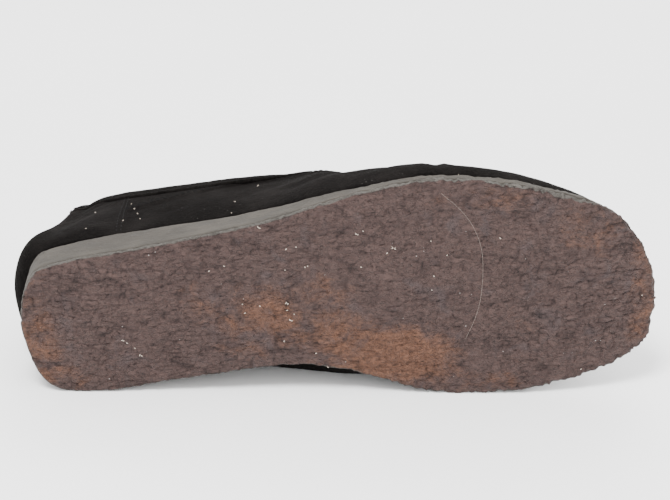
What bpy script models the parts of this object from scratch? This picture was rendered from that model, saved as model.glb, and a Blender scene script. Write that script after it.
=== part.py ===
"""Low suede lace-up shoe for the right foot, with a crepe wedge sole, lying on its inner side.

The shoe is worked out in its own standing frame: x runs from the heel's back to the toe, y points to the
inner (medial) side, z is up and the tread is at z = 0. A rest pose found from the finished solids then
lays it down, so that the sole's edge and the upper touch the floor and the tread faces -Y.
Lengths are in metres.
"""

import math

import bmesh
import bpy
import numpy as np
from mathutils import Matrix, Vector

# Sole
LENGTH = 0.295
BALL_WIDTH = 0.1105
OUTSOLE_THICKNESS = 0.003
HEEL_STACK = 0.0213
FOREFOOT_STACK = 0.0068
TOE_SPRING = 0.008
TOE_DRAFT = 0.0012
ARCH_FLARE = 0.0065

# Upper
WALL = 0.002
INSTEP_HEIGHT = 0.069
HEEL_HEIGHT = 0.093
COLLAR_LOW = 0.077
COLLAR_TILT = 0.004
SIDE_MARGIN = 0.0006
TOE_MARGIN = 0.0042
HEEL_SWELL = 0.0106
INNER_SWELL = 0.0108
SIDE_SWELL = 0.0012
SWELL_HEIGHT = 0.026
LEAN_HEIGHT = 0.046
SEAM_RELIEF = 0.0014
SEAM_WIDTH = 0.0032

# Throat, collar and foot bed
FACING_TOP = 0.138
THROAT_END = 0.166
FACING_OPENING = 0.020
CORNER_LENGTH = 0.005
BAND_HEIGHT = 0.010
BAND_THICKNESS = 0.0012
INSOLE_THICKNESS = 0.003
INSOLE_CLEARANCE = 0.0009
TONGUE_THICKNESS = 0.0022
TONGUE_WIDTH = 0.040
TONGUE_RISE = 0.005
TONGUE_TAIL = 0.012

# Laces
LACE_WIDTH = 0.0055
LACE_THICKNESS = 0.0012
HOLE_DIAMETER = 0.005
HOLE_MARGIN = 0.0075
LOWER_HOLES = 0.160
UPPER_HOLES = 0.146
KNOT_PLACE = 0.152
KNOT_LENGTH = 0.012
KNOT_WIDTH = 0.011
KNOT_HEIGHT = 0.0075
AGLET_LENGTH = 0.024
AGLET_DIAMETER = 0.0033

# Fit and fineness
GAP = 0.0003
SOFT_GAP = 0.0005
HALF_RIBS = 36
END_CROWDING = 0.42

# Tread outline, from the heel's back along the outer side to the toe and back along the inner side.
# Columns: along (share of LENGTH), across (share of BALL_WIDTH, inner side positive)
OUTLINE = [
    (0.000, 0.020),
    (0.020, -0.195),
    (0.070, -0.264),
    (0.200, -0.323),
    (0.370, -0.407),
    (0.540, -0.537),
    (0.675, -0.582),
    (0.830, -0.508),
    (0.935, -0.375),
    (0.985, -0.165),
    (1.000, 0.040),
    (0.983, 0.230),
    (0.930, 0.322),
    (0.820, 0.404),
    (0.720, 0.426),
    (0.630, 0.400),
    (0.545, 0.318),
    (0.470, 0.265),
    (0.400, 0.256),
    (0.240, 0.308),
    (0.110, 0.351),
    (0.030, 0.295),
]

# Sole thickness. Columns: along (share of LENGTH), share of the step from forefoot stack to heel stack
STACK = [
    (0.00, 0.95),
    (0.15, 1.00),
    (0.27, 0.82),
    (0.36, 0.66),
    (0.43, 0.46),
    (0.50, 0.20),
    (0.56, 0.06),
    (0.64, 0.00),
    (1.00, 0.00),
]

# The last's closed form. Columns: along (share of LENGTH), centre (share of BALL_WIDTH),
# crest (height over the ground, share of INSTEP_HEIGHT), fullness of the side
LAST = [
    (0.00, 0.020, 1.90, 1.80),
    (0.16, 0.010, 1.82, 1.90),
    (0.34, -0.020, 1.58, 2.15),
    (0.43, -0.035, 1.41, 2.30),
    (0.47, -0.040, 1.31, 2.25),
    (0.50, -0.045, 1.13, 2.15),
    (0.53, -0.045, 1.01, 2.05),
    (0.56, -0.045, 0.94, 1.95),
    (0.60, -0.050, 0.87, 1.85),
    (0.68, -0.060, 0.74, 1.75),
    (0.78, -0.055, 0.60, 1.70),
    (0.87, -0.035, 0.515, 1.75),
    (1.00, 0.000, 0.47, 1.80),
]

# Outer side's fullness over the sole. Columns: along (share of LENGTH), outwards (share of BALL_WIDTH)
OUTER_FULLNESS = [
    (0.00, 0.000),
    (0.50, 0.000),
    (0.60, 0.024),
    (0.70, 0.033),
    (0.90, 0.040),
    (1.00, 0.000),
]

# Lean of the heel and the outer side towards the ankle. Columns: along (share of LENGTH),
# inwards at the topline (share of BALL_WIDTH)
LEAN = [
    (0.00, 0.113),
    (0.04, 0.084),
    (0.09, 0.042),
    (0.14, 0.024),
    (0.22, 0.016),
    (0.30, 0.015),
    (0.37, 0.026),
    (0.42, 0.036),
    (0.50, 0.000),
]

# Topline. Columns: along (share of LENGTH), drop (share of the step from HEEL_HEIGHT to COLLAR_LOW)
TOPLINE = [
    (0.00, 0.00),
    (0.04, 0.05),
    (0.09, 0.35),
    (0.17, 0.74),
    (0.26, 0.96),
    (0.34, 1.00),
    (0.40, 0.82),
    (0.44, 0.60),
    (0.50, 0.42),
]

# Apron seam. Columns: along (share of LENGTH), inset from the widest line (share of BALL_WIDTH), relief
SEAM = [
    (0.00, 0.140, 0.0),
    (0.50, 0.230, 0.0),
    (0.56, 0.235, 0.0),
    (0.585, 0.225, 1.0),
    (0.64, 0.165, 1.0),
    (0.72, 0.125, 1.0),
    (1.00, 0.115, 1.0),
]

# Routes of the bow's loops from the knot's middle, in the standing frame. Columns: ahead, inwards, up
BIG_LOOP = [
    (-0.0044, -0.0005, 0.0053),
    (-0.0066, -0.0005, 0.0110),
    (-0.0114, 0.0010, 0.0167),
    (-0.0179, 0.0050, 0.0205),
    (-0.0254, 0.0125, 0.0215),
    (-0.0314, 0.0220, 0.0183),
    (-0.0341, 0.0310, 0.0130),
    (-0.0319, 0.0365, 0.0078),
    (-0.0249, 0.0380, 0.0043),
    (-0.0164, 0.0355, 0.0020),
    (-0.0100, 0.0262, 0.0030),
    (-0.0064, 0.0155, 0.0050),
    (-0.0050, 0.0066, 0.0058),
]
SMALL_LOOP = [
    (0.0034, 0.0010, 0.0033),
    (0.0051, 0.0015, 0.0075),
    (0.0086, 0.0030, 0.0085),
    (0.0131, 0.0050, 0.0043),
    (0.0164, 0.0075, -0.0025),
    (0.0179, 0.0090, -0.0090),
    (0.0161, 0.0095, -0.0117),
    (0.0121, 0.0085, -0.0100),
    (0.0081, 0.0060, -0.0069),
    (0.0052, 0.0038, -0.0040),
]

# Routes of the free ends, in the lying frame. Columns: along X and along Y from the knot's middle,
# height (share of the height of the knot's underside over the floor)
END_TO_HEEL = [
    (0.0002, 0.0022, 1.028),
    (0.0002, 0.0040, 0.955),
    (-0.0004, 0.0070, 0.870),
    (-0.0022, 0.0118, 0.720),
    (-0.0054, 0.0170, 0.500),
    (-0.0092, 0.0212, 0.260),
    (-0.0140, 0.0255, 0.070),
    (-0.0190, 0.0295, 0.000),
    (-0.0250, 0.0326, 0.020),
]
END_TO_TOE = [
    (0.0022, -0.0014, 1.025),
    (0.0034, 0.0000, 0.940),
    (0.0050, 0.0020, 0.840),
    (0.0073, 0.0046, 0.620),
    (0.0110, 0.0080, 0.340),
    (0.0155, 0.0120, 0.130),
    (0.0205, 0.0160, 0.020),
    (0.0265, 0.0195, 0.000),
    (0.0330, 0.0220, 0.020),
]

# Where along the shoe things start, change or end, as shares of LENGTH
HEEL_FAN = 0.17
TOE_FAN = 0.73
SPRING_START = 0.76
DRAFT_START = 0.75
DRAFT_REACH = 0.20
MARGIN_START = 0.72
MARGIN_REACH = 0.24
ARCH_CENTRE = 0.44
ARCH_REACH = 0.17
HEEL_REACH = 0.16
INNER_CENTRE = 0.40
INNER_REACH = 0.30
TILT_REACH = 0.20
LEAN_INNER_REACH = 0.10

# Other shares
HEEL_SPREAD = 0.15
TOE_SPREAD = 0.60
SWELL_POWER = 0.6
OUTER_CORNER = 1.5
INNER_CORNER = 2.0
LEAN_CREST = 0.45
FACING_TOP_SHARE = 1.10
FACING_TAPER = 0.25
SEAM_LIMIT = 0.7
SEAM_FOOT = 0.15
TONGUE_NECK = 0.58
TONGUE_NECK_REACH = 0.35
LACE_FLAT_SHARE = 0.8
HOLE_LACE_SHARE = 0.55

# Small lengths of the build
BAND_STOP = 0.0012
STATION_CLEARANCE = 0.0026
CREST_ANGLE = math.pi / 2 - 0.002
ANGLE_STEP = 0.01
WAY_STEP = 0.004

BLACK_SUEDE = (0.012, 0.011, 0.011)
LINING_BLACK = (0.020, 0.018, 0.018)
GREY_CREPE = (0.23, 0.21, 0.20)
BROWN_CREPE = (0.15, 0.095, 0.085)
LACE_GREY = (0.035, 0.032, 0.030)
CLEAR_PLASTIC = (0.55, 0.55, 0.55)


def smooth(value):
    """Eased step from 0 to 1."""
    t = min(1.0, max(0.0, value))
    return t * t * (3.0 - 2.0 * t)


def read_table(table, column, share):
    """Smooth value of one column of a table at a share of the length."""
    xs = [row[0] for row in table]
    ys = [row[column] for row in table]
    if share <= xs[0]:
        return ys[0]
    if share >= xs[-1]:
        return ys[-1]
    i = max(k for k in range(len(xs) - 1) if xs[k] <= share)
    step = xs[i + 1] - xs[i]
    rise = (ys[i + 1] - ys[i]) / step
    before = (ys[i] - ys[i - 1]) / (xs[i] - xs[i - 1]) if i > 0 else rise
    after = (ys[i + 2] - ys[i + 1]) / (xs[i + 2] - xs[i + 1]) if i + 2 < len(xs) else rise
    start = 0.5 * (before + rise) if before * rise > 0 else 0.0
    end = 0.5 * (after + rise) if after * rise > 0 else 0.0
    t = (share - xs[i]) / step
    return (
        ys[i] * (1 + 2 * t) * (1 - t) ** 2
        + ys[i + 1] * t * t * (3 - 2 * t)
        + step * start * t * (1 - t) ** 2
        - step * end * t * t * (1 - t)
    )


def closed_curve(points, steps):
    """Smooth closed curve through the points, as many samples between two of them as steps says."""
    count = len(points)
    samples = []
    for i in range(count):
        p0, p1, p2, p3 = (np.array(points[(i + k - 1) % count]) for k in range(4))
        for k in range(steps):
            t = k / steps
            samples.append(
                0.5
                * (
                    2 * p1
                    + (p2 - p0) * t
                    + (2 * p0 - 5 * p1 + 4 * p2 - p3) * t**2
                    + (3 * p1 - p0 - 3 * p2 + p3) * t**3
                )
            )
    return np.array(samples)


def tread_sides():
    """The outer and the inner side of the tread outline, each from heel to toe."""
    points = [(along * LENGTH, across * BALL_WIDTH) for along, across in OUTLINE]
    loop = closed_curve(points, 40)
    loop[:, 0] = (loop[:, 0] - loop[:, 0].min()) * LENGTH / np.ptp(loop[:, 0])
    loop = np.roll(loop, -int(loop[:, 0].argmin()), axis=0)
    toe = int(loop[:, 0].argmax())
    outer = loop[: toe + 1]
    inner = np.vstack([loop[toe:], loop[:1]])[::-1]
    return outer, inner


OUTER_SIDE, INNER_SIDE = tread_sides()
OUTER_RUN = np.concatenate([[0.0], np.cumsum(np.hypot(*np.diff(OUTER_SIDE, axis=0).T))])
OUTER_RUN = OUTER_RUN / OUTER_RUN[-1]


def edge(way):
    """Point of the tread outline. way runs 0 to 1 along the outer side and 1 to 2 back along the inner."""
    way = way % 2.0
    half = way if way <= 1.0 else 2.0 - way
    x = np.interp(half, OUTER_RUN, OUTER_SIDE[:, 0])
    side = OUTER_SIDE if way <= 1.0 else INNER_SIDE
    return np.array([x, np.interp(x, side[:, 0], side[:, 1])])


def edge_out(way):
    """Outward direction of the tread outline, level."""
    run = edge(way + WAY_STEP) - edge(way - WAY_STEP)
    out = np.array([run[1], -run[0]])
    return out / np.linalg.norm(out)


def is_inner(way):
    return way % 2.0 > 1.0


def way_at(x, inner):
    """The way at a given x on the outer or the inner side."""
    half = float(np.interp(x, OUTER_SIDE[:, 0], OUTER_RUN))
    return 2.0 - half if inner else half


def tread_height(x):
    """Height of the tread: flat from heel to ball, then the toe spring."""
    start = SPRING_START * LENGTH
    return TOE_SPRING * max(0.0, (x - start) / (LENGTH - start)) ** 2


def sole_top(x):
    """Height of the wedge's top."""
    stack = FOREFOOT_STACK + (HEEL_STACK - FOREFOOT_STACK) * read_table(STACK, 1, x / LENGTH)
    return tread_height(x) + stack


def side_offset(way, rise):
    """How far the wedge's side stands out of the tread outline at a share of its height."""
    x = edge(way)[0]
    toe = smooth((x / LENGTH - DRAFT_START) / DRAFT_REACH)
    arch = max(0.0, 1.0 - ((x / LENGTH - ARCH_CENTRE) / ARCH_REACH) ** 2) ** 2 if is_inner(way) else 0.0
    return rise * (ARCH_FLARE * arch - TOE_DRAFT * toe)


def feather(way, inset=0.0):
    """The line on the wedge's top where the upper's outer face starts, moved in by inset."""
    x = edge(way)[0]
    margin = SIDE_MARGIN + (TOE_MARGIN - SIDE_MARGIN) * smooth((x / LENGTH - MARGIN_START) / MARGIN_REACH)
    return edge(way) + edge_out(way) * (side_offset(way, 1.0) - margin - inset)


def crest_point(x):
    """Where the rib that starts beside x ends on the last's crest line: parallel ribs, fanned at both ends."""
    start, end = HEEL_FAN * LENGTH, TOE_FAN * LENGTH
    if x < start:
        x = start - (start - x) * HEEL_SPREAD
    elif x > end:
        x = end + (x - end) * TOE_SPREAD
    centre = read_table(LAST, 1, x / LENGTH) * BALL_WIDTH
    return np.array([x, centre]), read_table(LAST, 2, x / LENGTH) * INSTEP_HEIGHT


def swell(way):
    """How far the upper's side stands out over its feather line."""
    share = edge(way)[0] / LENGTH
    corner = INNER_CORNER if is_inner(way) else OUTER_CORNER
    heel = HEEL_SWELL * (1.0 - smooth(share / HEEL_REACH)) * max(0.0, -edge_out(way)[0]) ** corner
    full = 0.0 if is_inner(way) else BALL_WIDTH * read_table(OUTER_FULLNESS, 1, share)
    arch = max(0.0, 1.0 - ((share - INNER_CENTRE) / INNER_REACH) ** 2) if is_inner(way) else 0.0
    return SIDE_SWELL + heel + full + (INNER_SWELL - SIDE_SWELL) * smooth(arch)


def lean(way, rise, angle):
    """How far the heel and the outer side lean inwards at a height over the sole, none at the crest."""
    share = edge(way)[0] / LENGTH
    if share >= LEAN[-1][0]:
        return 0.0
    kept = 1.0 - smooth(share / LEAN_INNER_REACH) if is_inner(way) else 1.0
    most = kept * BALL_WIDTH * read_table(LEAN, 1, share)
    return most * smooth(rise / LEAN_HEIGHT) * smooth(math.cos(angle) / LEAN_CREST)


def form_point(way, angle):
    """Point of the last's closed form at an angle of 0 at the feather line and 90 degrees at the crest."""
    start = feather(way)
    x = edge(way)[0]
    crest, crest_height = crest_point(x)
    base = sole_top(x) + GAP
    reach = np.linalg.norm(start - crest)
    out = (start - crest) / reach
    rise = (crest_height - base) * math.sin(angle) ** (2.0 / read_table(LAST, 3, x / LENGTH))
    grown = swell(way)
    held = math.sin(math.pi / 2 * min(1.0, rise / SWELL_HEIGHT)) ** SWELL_POWER if rise > 0 else 0.0
    level = (reach + grown) * max(0.0, math.cos(angle)) - grown * (1.0 - held) - lean(way, rise, angle)
    return np.array([*(crest + out * level), base + rise])


def form_normal(way, angle):
    """Outward direction of the closed form."""
    low, high = max(math.pi / 2 - CREST_ANGLE, angle - ANGLE_STEP), min(CREST_ANGLE, angle + ANGLE_STEP)
    up = form_point(way, high) - form_point(way, low)
    run = form_point(way + WAY_STEP, angle) - form_point(way - WAY_STEP, angle)
    normal = np.cross(run, up)
    return normal / np.linalg.norm(normal)


def skin(way, angle, out=0.0):
    """Point on the closed form, moved outwards by out."""
    return form_point(way, angle) + form_normal(way, angle) * out


def angle_at_height(way, height):
    x = edge(way)[0]
    base = sole_top(x) + GAP
    share = (height - base) / (crest_point(x)[1] - base)
    return math.asin(min(0.999, share) ** (read_table(LAST, 3, x / LENGTH) / 2.0))


def angle_at_level(way, distance):
    """The angle at a level distance from the crest line."""
    crest, _ = crest_point(edge(way)[0])
    reach = np.linalg.norm(feather(way) - crest) + swell(way)
    return math.acos(min(0.999, distance / reach))


def topline_height(way):
    share = edge(way)[0] / LENGTH
    drop = (HEEL_HEIGHT - COLLAR_LOW) * read_table(TOPLINE, 1, share)
    tilt = 0.0 if is_inner(way) else COLLAR_TILT * smooth(share / TILT_REACH)
    return HEEL_HEIGHT - drop - tilt


def facing_distance(x):
    """Level distance of the facing's edge from the crest line."""
    down = (x - FACING_TOP) / (THROAT_END - FACING_TOP)
    return FACING_OPENING / 2 * (FACING_TOP_SHARE - FACING_TAPER * down)


def opening_angle(way):
    """Where the upper's wall ends: at the topline, along the facing, or at the crest in front of the throat."""
    x = edge(way)[0]
    if x >= THROAT_END:
        return math.pi / 2
    if x < FACING_TOP:
        return angle_at_height(way, topline_height(way))
    facing = angle_at_level(way, facing_distance(x))
    corner = smooth((x - FACING_TOP) / CORNER_LENGTH)
    return angle_at_height(way, topline_height(way)) * (1 - corner) + facing * corner


def seam_angle(way):
    share = edge(way)[0] / LENGTH
    crest, _ = crest_point(share * LENGTH)
    reach = np.linalg.norm(feather(way) - crest) + swell(way)
    angle = math.acos(1.0 - min(0.6, read_table(SEAM, 1, share) * BALL_WIDTH / reach))
    return min(angle, SEAM_LIMIT * opening_angle(way))


def station_list():
    """Stations from heel to toe: even steps along the outer edge, with closer ones at the facings."""
    shares = [k / HALF_RIBS for k in range(HALF_RIBS + 1)]
    turn = 2.0 * math.pi
    even = [edge(s - END_CROWDING * math.sin(turn * s) / turn)[0] for s in shares]
    facing = [FACING_TOP - BAND_STOP, FACING_TOP + CORNER_LENGTH / 2, FACING_TOP + CORNER_LENGTH]
    facing += [THROAT_END - BAND_STOP, THROAT_END + GAP]
    steps = 3
    top = FACING_TOP + CORNER_LENGTH
    facing += [top + (THROAT_END - top) * k / (steps + 1) for k in range(1, steps + 1)]
    kept = [x for x in even if all(abs(x - f) > STATION_CLEARANCE for f in facing)]
    kept = [x for x in kept if not FACING_TOP - BAND_STOP < x < THROAT_END]
    return sorted(kept + facing)


STATIONS = station_list()
LOWER_ROWS = [0.0, 0.16, 0.34, 0.55, 0.78]
UPPER_ROWS = [0.22, 0.46, 0.72, 1.0]


def ribs():
    """Ways of all ribs round the shoe: outer side heel to toe, then inner side toe to heel."""
    outer = [way_at(x, False) for x in STATIONS]
    inner = [way_at(x, True) for x in STATIONS[1:-1]]
    return outer + inner[::-1]


def rib_rows(way):
    """Angle and relief of each row of a rib, with the apron seam as a raised step."""
    seam = seam_angle(way)
    end = opening_angle(way)
    relief = SEAM_RELIEF * read_table(SEAM, 2, edge(way)[0] / LENGTH)
    half = SEAM_WIDTH / 2 / np.linalg.norm(feather(way) - crest_point(edge(way)[0])[0])
    rows = [(share * (seam - half), 0.0) for share in LOWER_ROWS]
    rows += [(seam - half, SEAM_FOOT * relief), (seam, relief), (seam + half, 0.0)]
    rows += [(seam + half + share * (end - seam - half), 0.0) for share in UPPER_ROWS]
    return rows


def make_object(name, vertices, faces, colour, roughness, smooth_angle=35.0):
    """A mesh object with its own material, its faces pointing out."""
    mesh = bpy.data.meshes.new(name)
    mesh.from_pydata([tuple(map(float, v)) for v in vertices], [], faces)
    work = bmesh.new()
    work.from_mesh(mesh)
    bmesh.ops.recalc_face_normals(work, faces=work.faces)
    bmesh.ops.triangulate(work, faces=work.faces)
    if work.calc_volume(signed=True) < 0:
        bmesh.ops.reverse_faces(work, faces=work.faces)
    work.to_mesh(mesh)
    work.free()
    mesh.shade_smooth()
    mesh.set_sharp_from_angle(angle=math.radians(smooth_angle))
    thing = bpy.data.objects.new(name, mesh)
    bpy.context.collection.objects.link(thing)
    material = bpy.data.materials.new(name)
    material.use_nodes = True
    shader = material.node_tree.nodes["Principled BSDF"]
    shader.inputs["Base Color"].default_value = (*colour, 1.0)
    shader.inputs["Roughness"].default_value = roughness
    mesh.materials.append(material)
    return thing


def slab(name, line, rises, bottom, top, colour, roughness):
    """A solid between two heights that follow x, with its side given by line(way, rise)."""
    count = len(STATIONS)
    ways = ribs()
    vertices = []
    for rise in rises:
        for way in ways:
            point = line(way, rise)
            low, high = bottom(point[0]), top(point[0])
            vertices.append((point[0], point[1], low + (high - low) * rise))
    ring = len(ways)
    faces = []
    for level in range(len(rises) - 1):
        for i in range(ring):
            j = (i + 1) % ring
            a, b = level * ring, (level + 1) * ring
            faces.append((a + i, a + j, b + j, b + i))
    for level, flip in ((0, True), (len(rises) - 1, False)):
        start = level * ring
        for i in range(count - 1):
            near = [start + i, start + i + 1]
            far = [start + (ring - i - 1) % ring, start + (ring - i) % ring]
            face = [near[0], near[1], far[0], far[1]]
            face = [v for k, v in enumerate(face) if v not in face[:k]]
            faces.append(tuple(reversed(face)) if flip else tuple(face))
    return make_object(name, vertices, faces, colour, roughness)


def outsole():
    return slab(
        "outsole",
        lambda way, rise: edge(way),
        (0.0, 1.0),
        tread_height,
        lambda x: tread_height(x) + OUTSOLE_THICKNESS,
        BROWN_CREPE,
        0.85,
    )


def wedge():
    return slab(
        "wedge",
        lambda way, rise: edge(way) + edge_out(way) * side_offset(way, rise),
        (0.0, 0.5, 1.0),
        lambda x: tread_height(x) + OUTSOLE_THICKNESS + GAP,
        sole_top,
        GREY_CREPE,
        0.8,
    )


def insole():
    return slab(
        "insole",
        lambda way, rise: feather(way, WALL + INSOLE_CLEARANCE),
        (0.0, 1.0),
        lambda x: sole_top(x) + GAP,
        lambda x: sole_top(x) + GAP + INSOLE_THICKNESS,
        LINING_BLACK,
        0.7,
    )


def upper():
    """The hollow wall: outer and inner sheet between the feather line and the opening, joined by rims."""
    ways = ribs()
    ring = len(ways)
    rows = len(LOWER_ROWS) + 3 + len(UPPER_ROWS)
    closed = [edge(way)[0] >= THROAT_END for way in ways]
    points = []
    index = {}
    for i, way in enumerate(ways):
        for k, (angle, relief) in enumerate(rib_rows(way)):
            mirror = (ring - i) % ring
            if k == rows - 1 and closed[i] and mirror < i:
                index[i, k] = index[mirror, k]
                continue
            index[i, k] = len(points)
            points.append(skin(way, angle, relief) if relief else form_point(way, angle))
    outer = np.array(points)
    faces = []
    for i in range(ring):
        j = (i + 1) % ring
        for k in range(rows - 1):
            face = [index[i, k], index[j, k], index[j, k + 1], index[i, k + 1]]
            face = [v for n, v in enumerate(face) if v not in face[:n]]
            faces.append(face)
    normals = np.zeros_like(outer)
    for face in faces:
        corners = outer[face]
        normal = np.cross(corners[1] - corners[0], corners[-1] - corners[0])
        if len(face) == 4:
            normal = normal + np.cross(corners[3] - corners[2], corners[1] - corners[2])
        for v in face:
            normals[v] += normal
    normals /= np.linalg.norm(normals, axis=1)[:, None]
    inner = outer - normals * WALL
    for i in range(ring):
        inner[index[i, 0], 2] = outer[index[i, 0], 2]
    shift = len(outer)
    shell = list(faces) + [[v + shift for v in reversed(face)] for face in faces]
    for i in range(ring):
        j = (i + 1) % ring
        a, b = index[i, 0], index[j, 0]
        shell.append([b, a, a + shift, b + shift])
        a, b = index[i, rows - 1], index[j, rows - 1]
        if not (closed[i] and closed[j]):
            shell.append([a, b, b + shift, a + shift])
    thing = make_object("upper", np.vstack([outer, inner]), shell, BLACK_SUEDE, 0.95)
    for x, inner_side in hole_places():
        cut_hole(thing, x, inner_side)
    return thing


def hole_places():
    return [(x, side) for x in (LOWER_HOLES, UPPER_HOLES) for side in (False, True)]


def hole_angle(x, inner_side):
    """Angle of a lace hole, set in from the facing's edge."""
    way = way_at(x, inner_side)
    return angle_at_level(way, facing_distance(x) + HOLE_MARGIN)


def cut_hole(thing, x, inner_side):
    way = way_at(x, inner_side)
    angle = hole_angle(x, inner_side)
    centre = Vector(skin(way, angle, -WALL / 2))
    axis = Vector(form_normal(way, angle))
    mesh = bpy.data.meshes.new("hole_cutter")
    work = bmesh.new()
    bmesh.ops.create_cone(
        work,
        cap_ends=True,
        segments=12,
        radius1=HOLE_DIAMETER / 2,
        radius2=HOLE_DIAMETER / 2,
        depth=4 * WALL,
    )
    work.to_mesh(mesh)
    work.free()
    cutter = bpy.data.objects.new("hole_cutter", mesh)
    bpy.context.collection.objects.link(cutter)
    cutter.matrix_world = Matrix.Translation(centre) @ axis.to_track_quat("Z", "Y").to_matrix().to_4x4()
    cutter.hide_render = True
    cutter.display_type = "WIRE"
    cut = thing.modifiers.new("lace_hole", "BOOLEAN")
    cut.operation = "DIFFERENCE"
    cut.solver = "EXACT"
    cut.object = cutter
    cutter.parent = thing


def sweep(name, rings, colour, roughness):
    """A closed solid through rings of equal count, with flat ends."""
    count = len(rings[0])
    vertices = [point for ring in rings for point in ring]
    faces = [list(range(count))[::-1], [len(vertices) - count + k for k in range(count)]]
    for i in range(len(rings) - 1):
        for k in range(count):
            n = (k + 1) % count
            faces.append([i * count + k, i * count + n, (i + 1) * count + n, (i + 1) * count + k])
    return make_object(name, vertices, faces, colour, roughness)


def collar_band():
    """A folded strip over the wall's top edge, from the outer facing round the heel to the inner facing."""
    end = FACING_TOP - BAND_STOP
    outer = [way_at(x, False) for x in STATIONS if x <= end]
    inner = [way_at(x, True) for x in STATIONS[1:] if x <= end]
    near, far = GAP, GAP + BAND_THICKNESS
    rings = []
    for way in outer[::-1] + inner:
        top = opening_angle(way)
        low = angle_at_height(way, topline_height(way) - BAND_HEIGHT)
        middle = 0.5 * (top + low)
        over = form_point(way, top) - form_point(way, top - 0.02)
        over = over / np.linalg.norm(over)
        rings.append(
            [
                skin(way, low, near),
                skin(way, low, far),
                skin(way, middle, far),
                skin(way, top, far) + over * GAP,
                skin(way, top, -WALL / 2) + over * far,
                skin(way, top, -WALL - far) + over * GAP,
                skin(way, middle, -WALL - far),
                skin(way, low, -WALL - far),
                skin(way, low, -WALL - near),
                skin(way, middle, -WALL - near),
                skin(way, top, -WALL - near) + over * near,
                skin(way, top, near) + over * near,
                skin(way, middle, near),
            ]
        )
    return sweep("collar_band", rings, BLACK_SUEDE, 0.95)


def tongue():
    """The tongue follows the inside of the facings and stands up a little over them."""
    start, end = FACING_TOP - TONGUE_RISE, THROAT_END + TONGUE_TAIL
    rings = []
    steps = 9
    for k in range(steps + 1):
        x = start + (end - start) * k / steps
        down = smooth((x - start) / (TONGUE_NECK_REACH * (end - start)))
        wide = TONGUE_WIDTH / 2 * (TONGUE_NECK + (1.0 - TONGUE_NECK) * down)
        across = [(False, wide * part / 3) for part in (3, 2, 1, 0)]
        across += [(True, wide * part / 3) for part in (1, 2, 3)]
        top, bottom = [], []
        for inner_side, distance in across:
            way = way_at(x, inner_side)
            angle = angle_at_level(way, distance) if distance else CREST_ANGLE
            top.append(skin(way, angle, -WALL - SOFT_GAP))
            bottom.append(skin(way, angle, -WALL - SOFT_GAP - TONGUE_THICKNESS))
        rings.append(top + bottom[::-1])
    return sweep("tongue", rings, BLACK_SUEDE, 0.95)


def ribbon(name, path, normals, colour, widths=None):
    """A flat lace along a path, its flat side facing the normals."""
    rings = []
    path = [np.array(p, dtype=float) for p in path]
    for i, point in enumerate(path):
        ahead = path[min(i + 1, len(path) - 1)] - path[max(i - 1, 0)]
        ahead = ahead / np.linalg.norm(ahead)
        normal = np.array(normals[i], dtype=float)
        normal = normal - ahead * normal.dot(ahead)
        normal = normal / np.linalg.norm(normal)
        across = np.cross(ahead, normal) * (widths[i] if widths else LACE_WIDTH) / 2
        lift = normal * LACE_THICKNESS / 2
        flat = across * LACE_FLAT_SHARE
        rings.append([point - flat - lift, point + flat - lift, point + across])
        rings[-1] += [point + flat + lift, point - flat + lift, point - across]
    return sweep(name, rings, colour, 0.9)


def lace_run(name, hole_x, middle_x):
    """A lace from the outer hole over the throat to the inner hole, its ends turned into the holes."""
    path, normals, widths = [], [], []
    lift = GAP * 1.5 + LACE_THICKNESS / 2
    narrow = HOLE_LACE_SHARE * HOLE_DIAMETER
    for inner_side in (False, True):
        angle_end = hole_angle(hole_x, inner_side)
        side_path, side_normals, side_widths = [], [], []
        for k in range(7):
            t = k / 6
            x = hole_x + (middle_x - hole_x) * smooth(t)
            way = way_at(x, inner_side)
            angle = angle_end + (CREST_ANGLE - angle_end) * t
            side_path.append(skin(way, angle, lift))
            side_normals.append(form_normal(way, angle))
            side_widths.append(narrow + (LACE_WIDTH - narrow) * smooth(t * 3))
        way = way_at(hole_x, inner_side)
        side_path.insert(0, skin(way, angle_end - 0.012, -WALL * 0.7))
        side_normals.insert(0, side_normals[0])
        side_widths.insert(0, narrow)
        side_normals[0] = form_normal(way, angle_end) + 3.0 * np.array([0.0, 1.0 if inner_side else -1.0, 0.0])
        if inner_side:
            side_path, side_normals, side_widths = side_path[-2::-1], side_normals[-2::-1], side_widths[-2::-1]
        path += side_path
        normals += side_normals
        widths += side_widths
    return ribbon(name, path, normals, LACE_GREY, widths)


def open_curve(points, steps):
    """Smooth open curve through the points."""
    rows = [np.array(p, dtype=float) for p in points]
    rows = [2 * rows[0] - rows[1], *rows, 2 * rows[-1] - rows[-2]]
    samples = []
    for p0, p1, p2, p3 in zip(rows, rows[1:], rows[2:], rows[3:]):
        for k in range(steps):
            t = k / steps
            bend = (2 * p0 - 5 * p1 + 4 * p2 - p3) * t**2 + (3 * p1 - p0 - 3 * p2 + p3) * t**3
            samples.append(0.5 * (2 * p1 + (p2 - p0) * t + bend))
    return samples + [rows[-2]]


def knot_middle():
    lift = 1.5 * GAP + LACE_THICKNESS + SOFT_GAP + KNOT_HEIGHT / 2
    return Vector(skin(way_at(KNOT_PLACE, False), CREST_ANGLE, lift))


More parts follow.
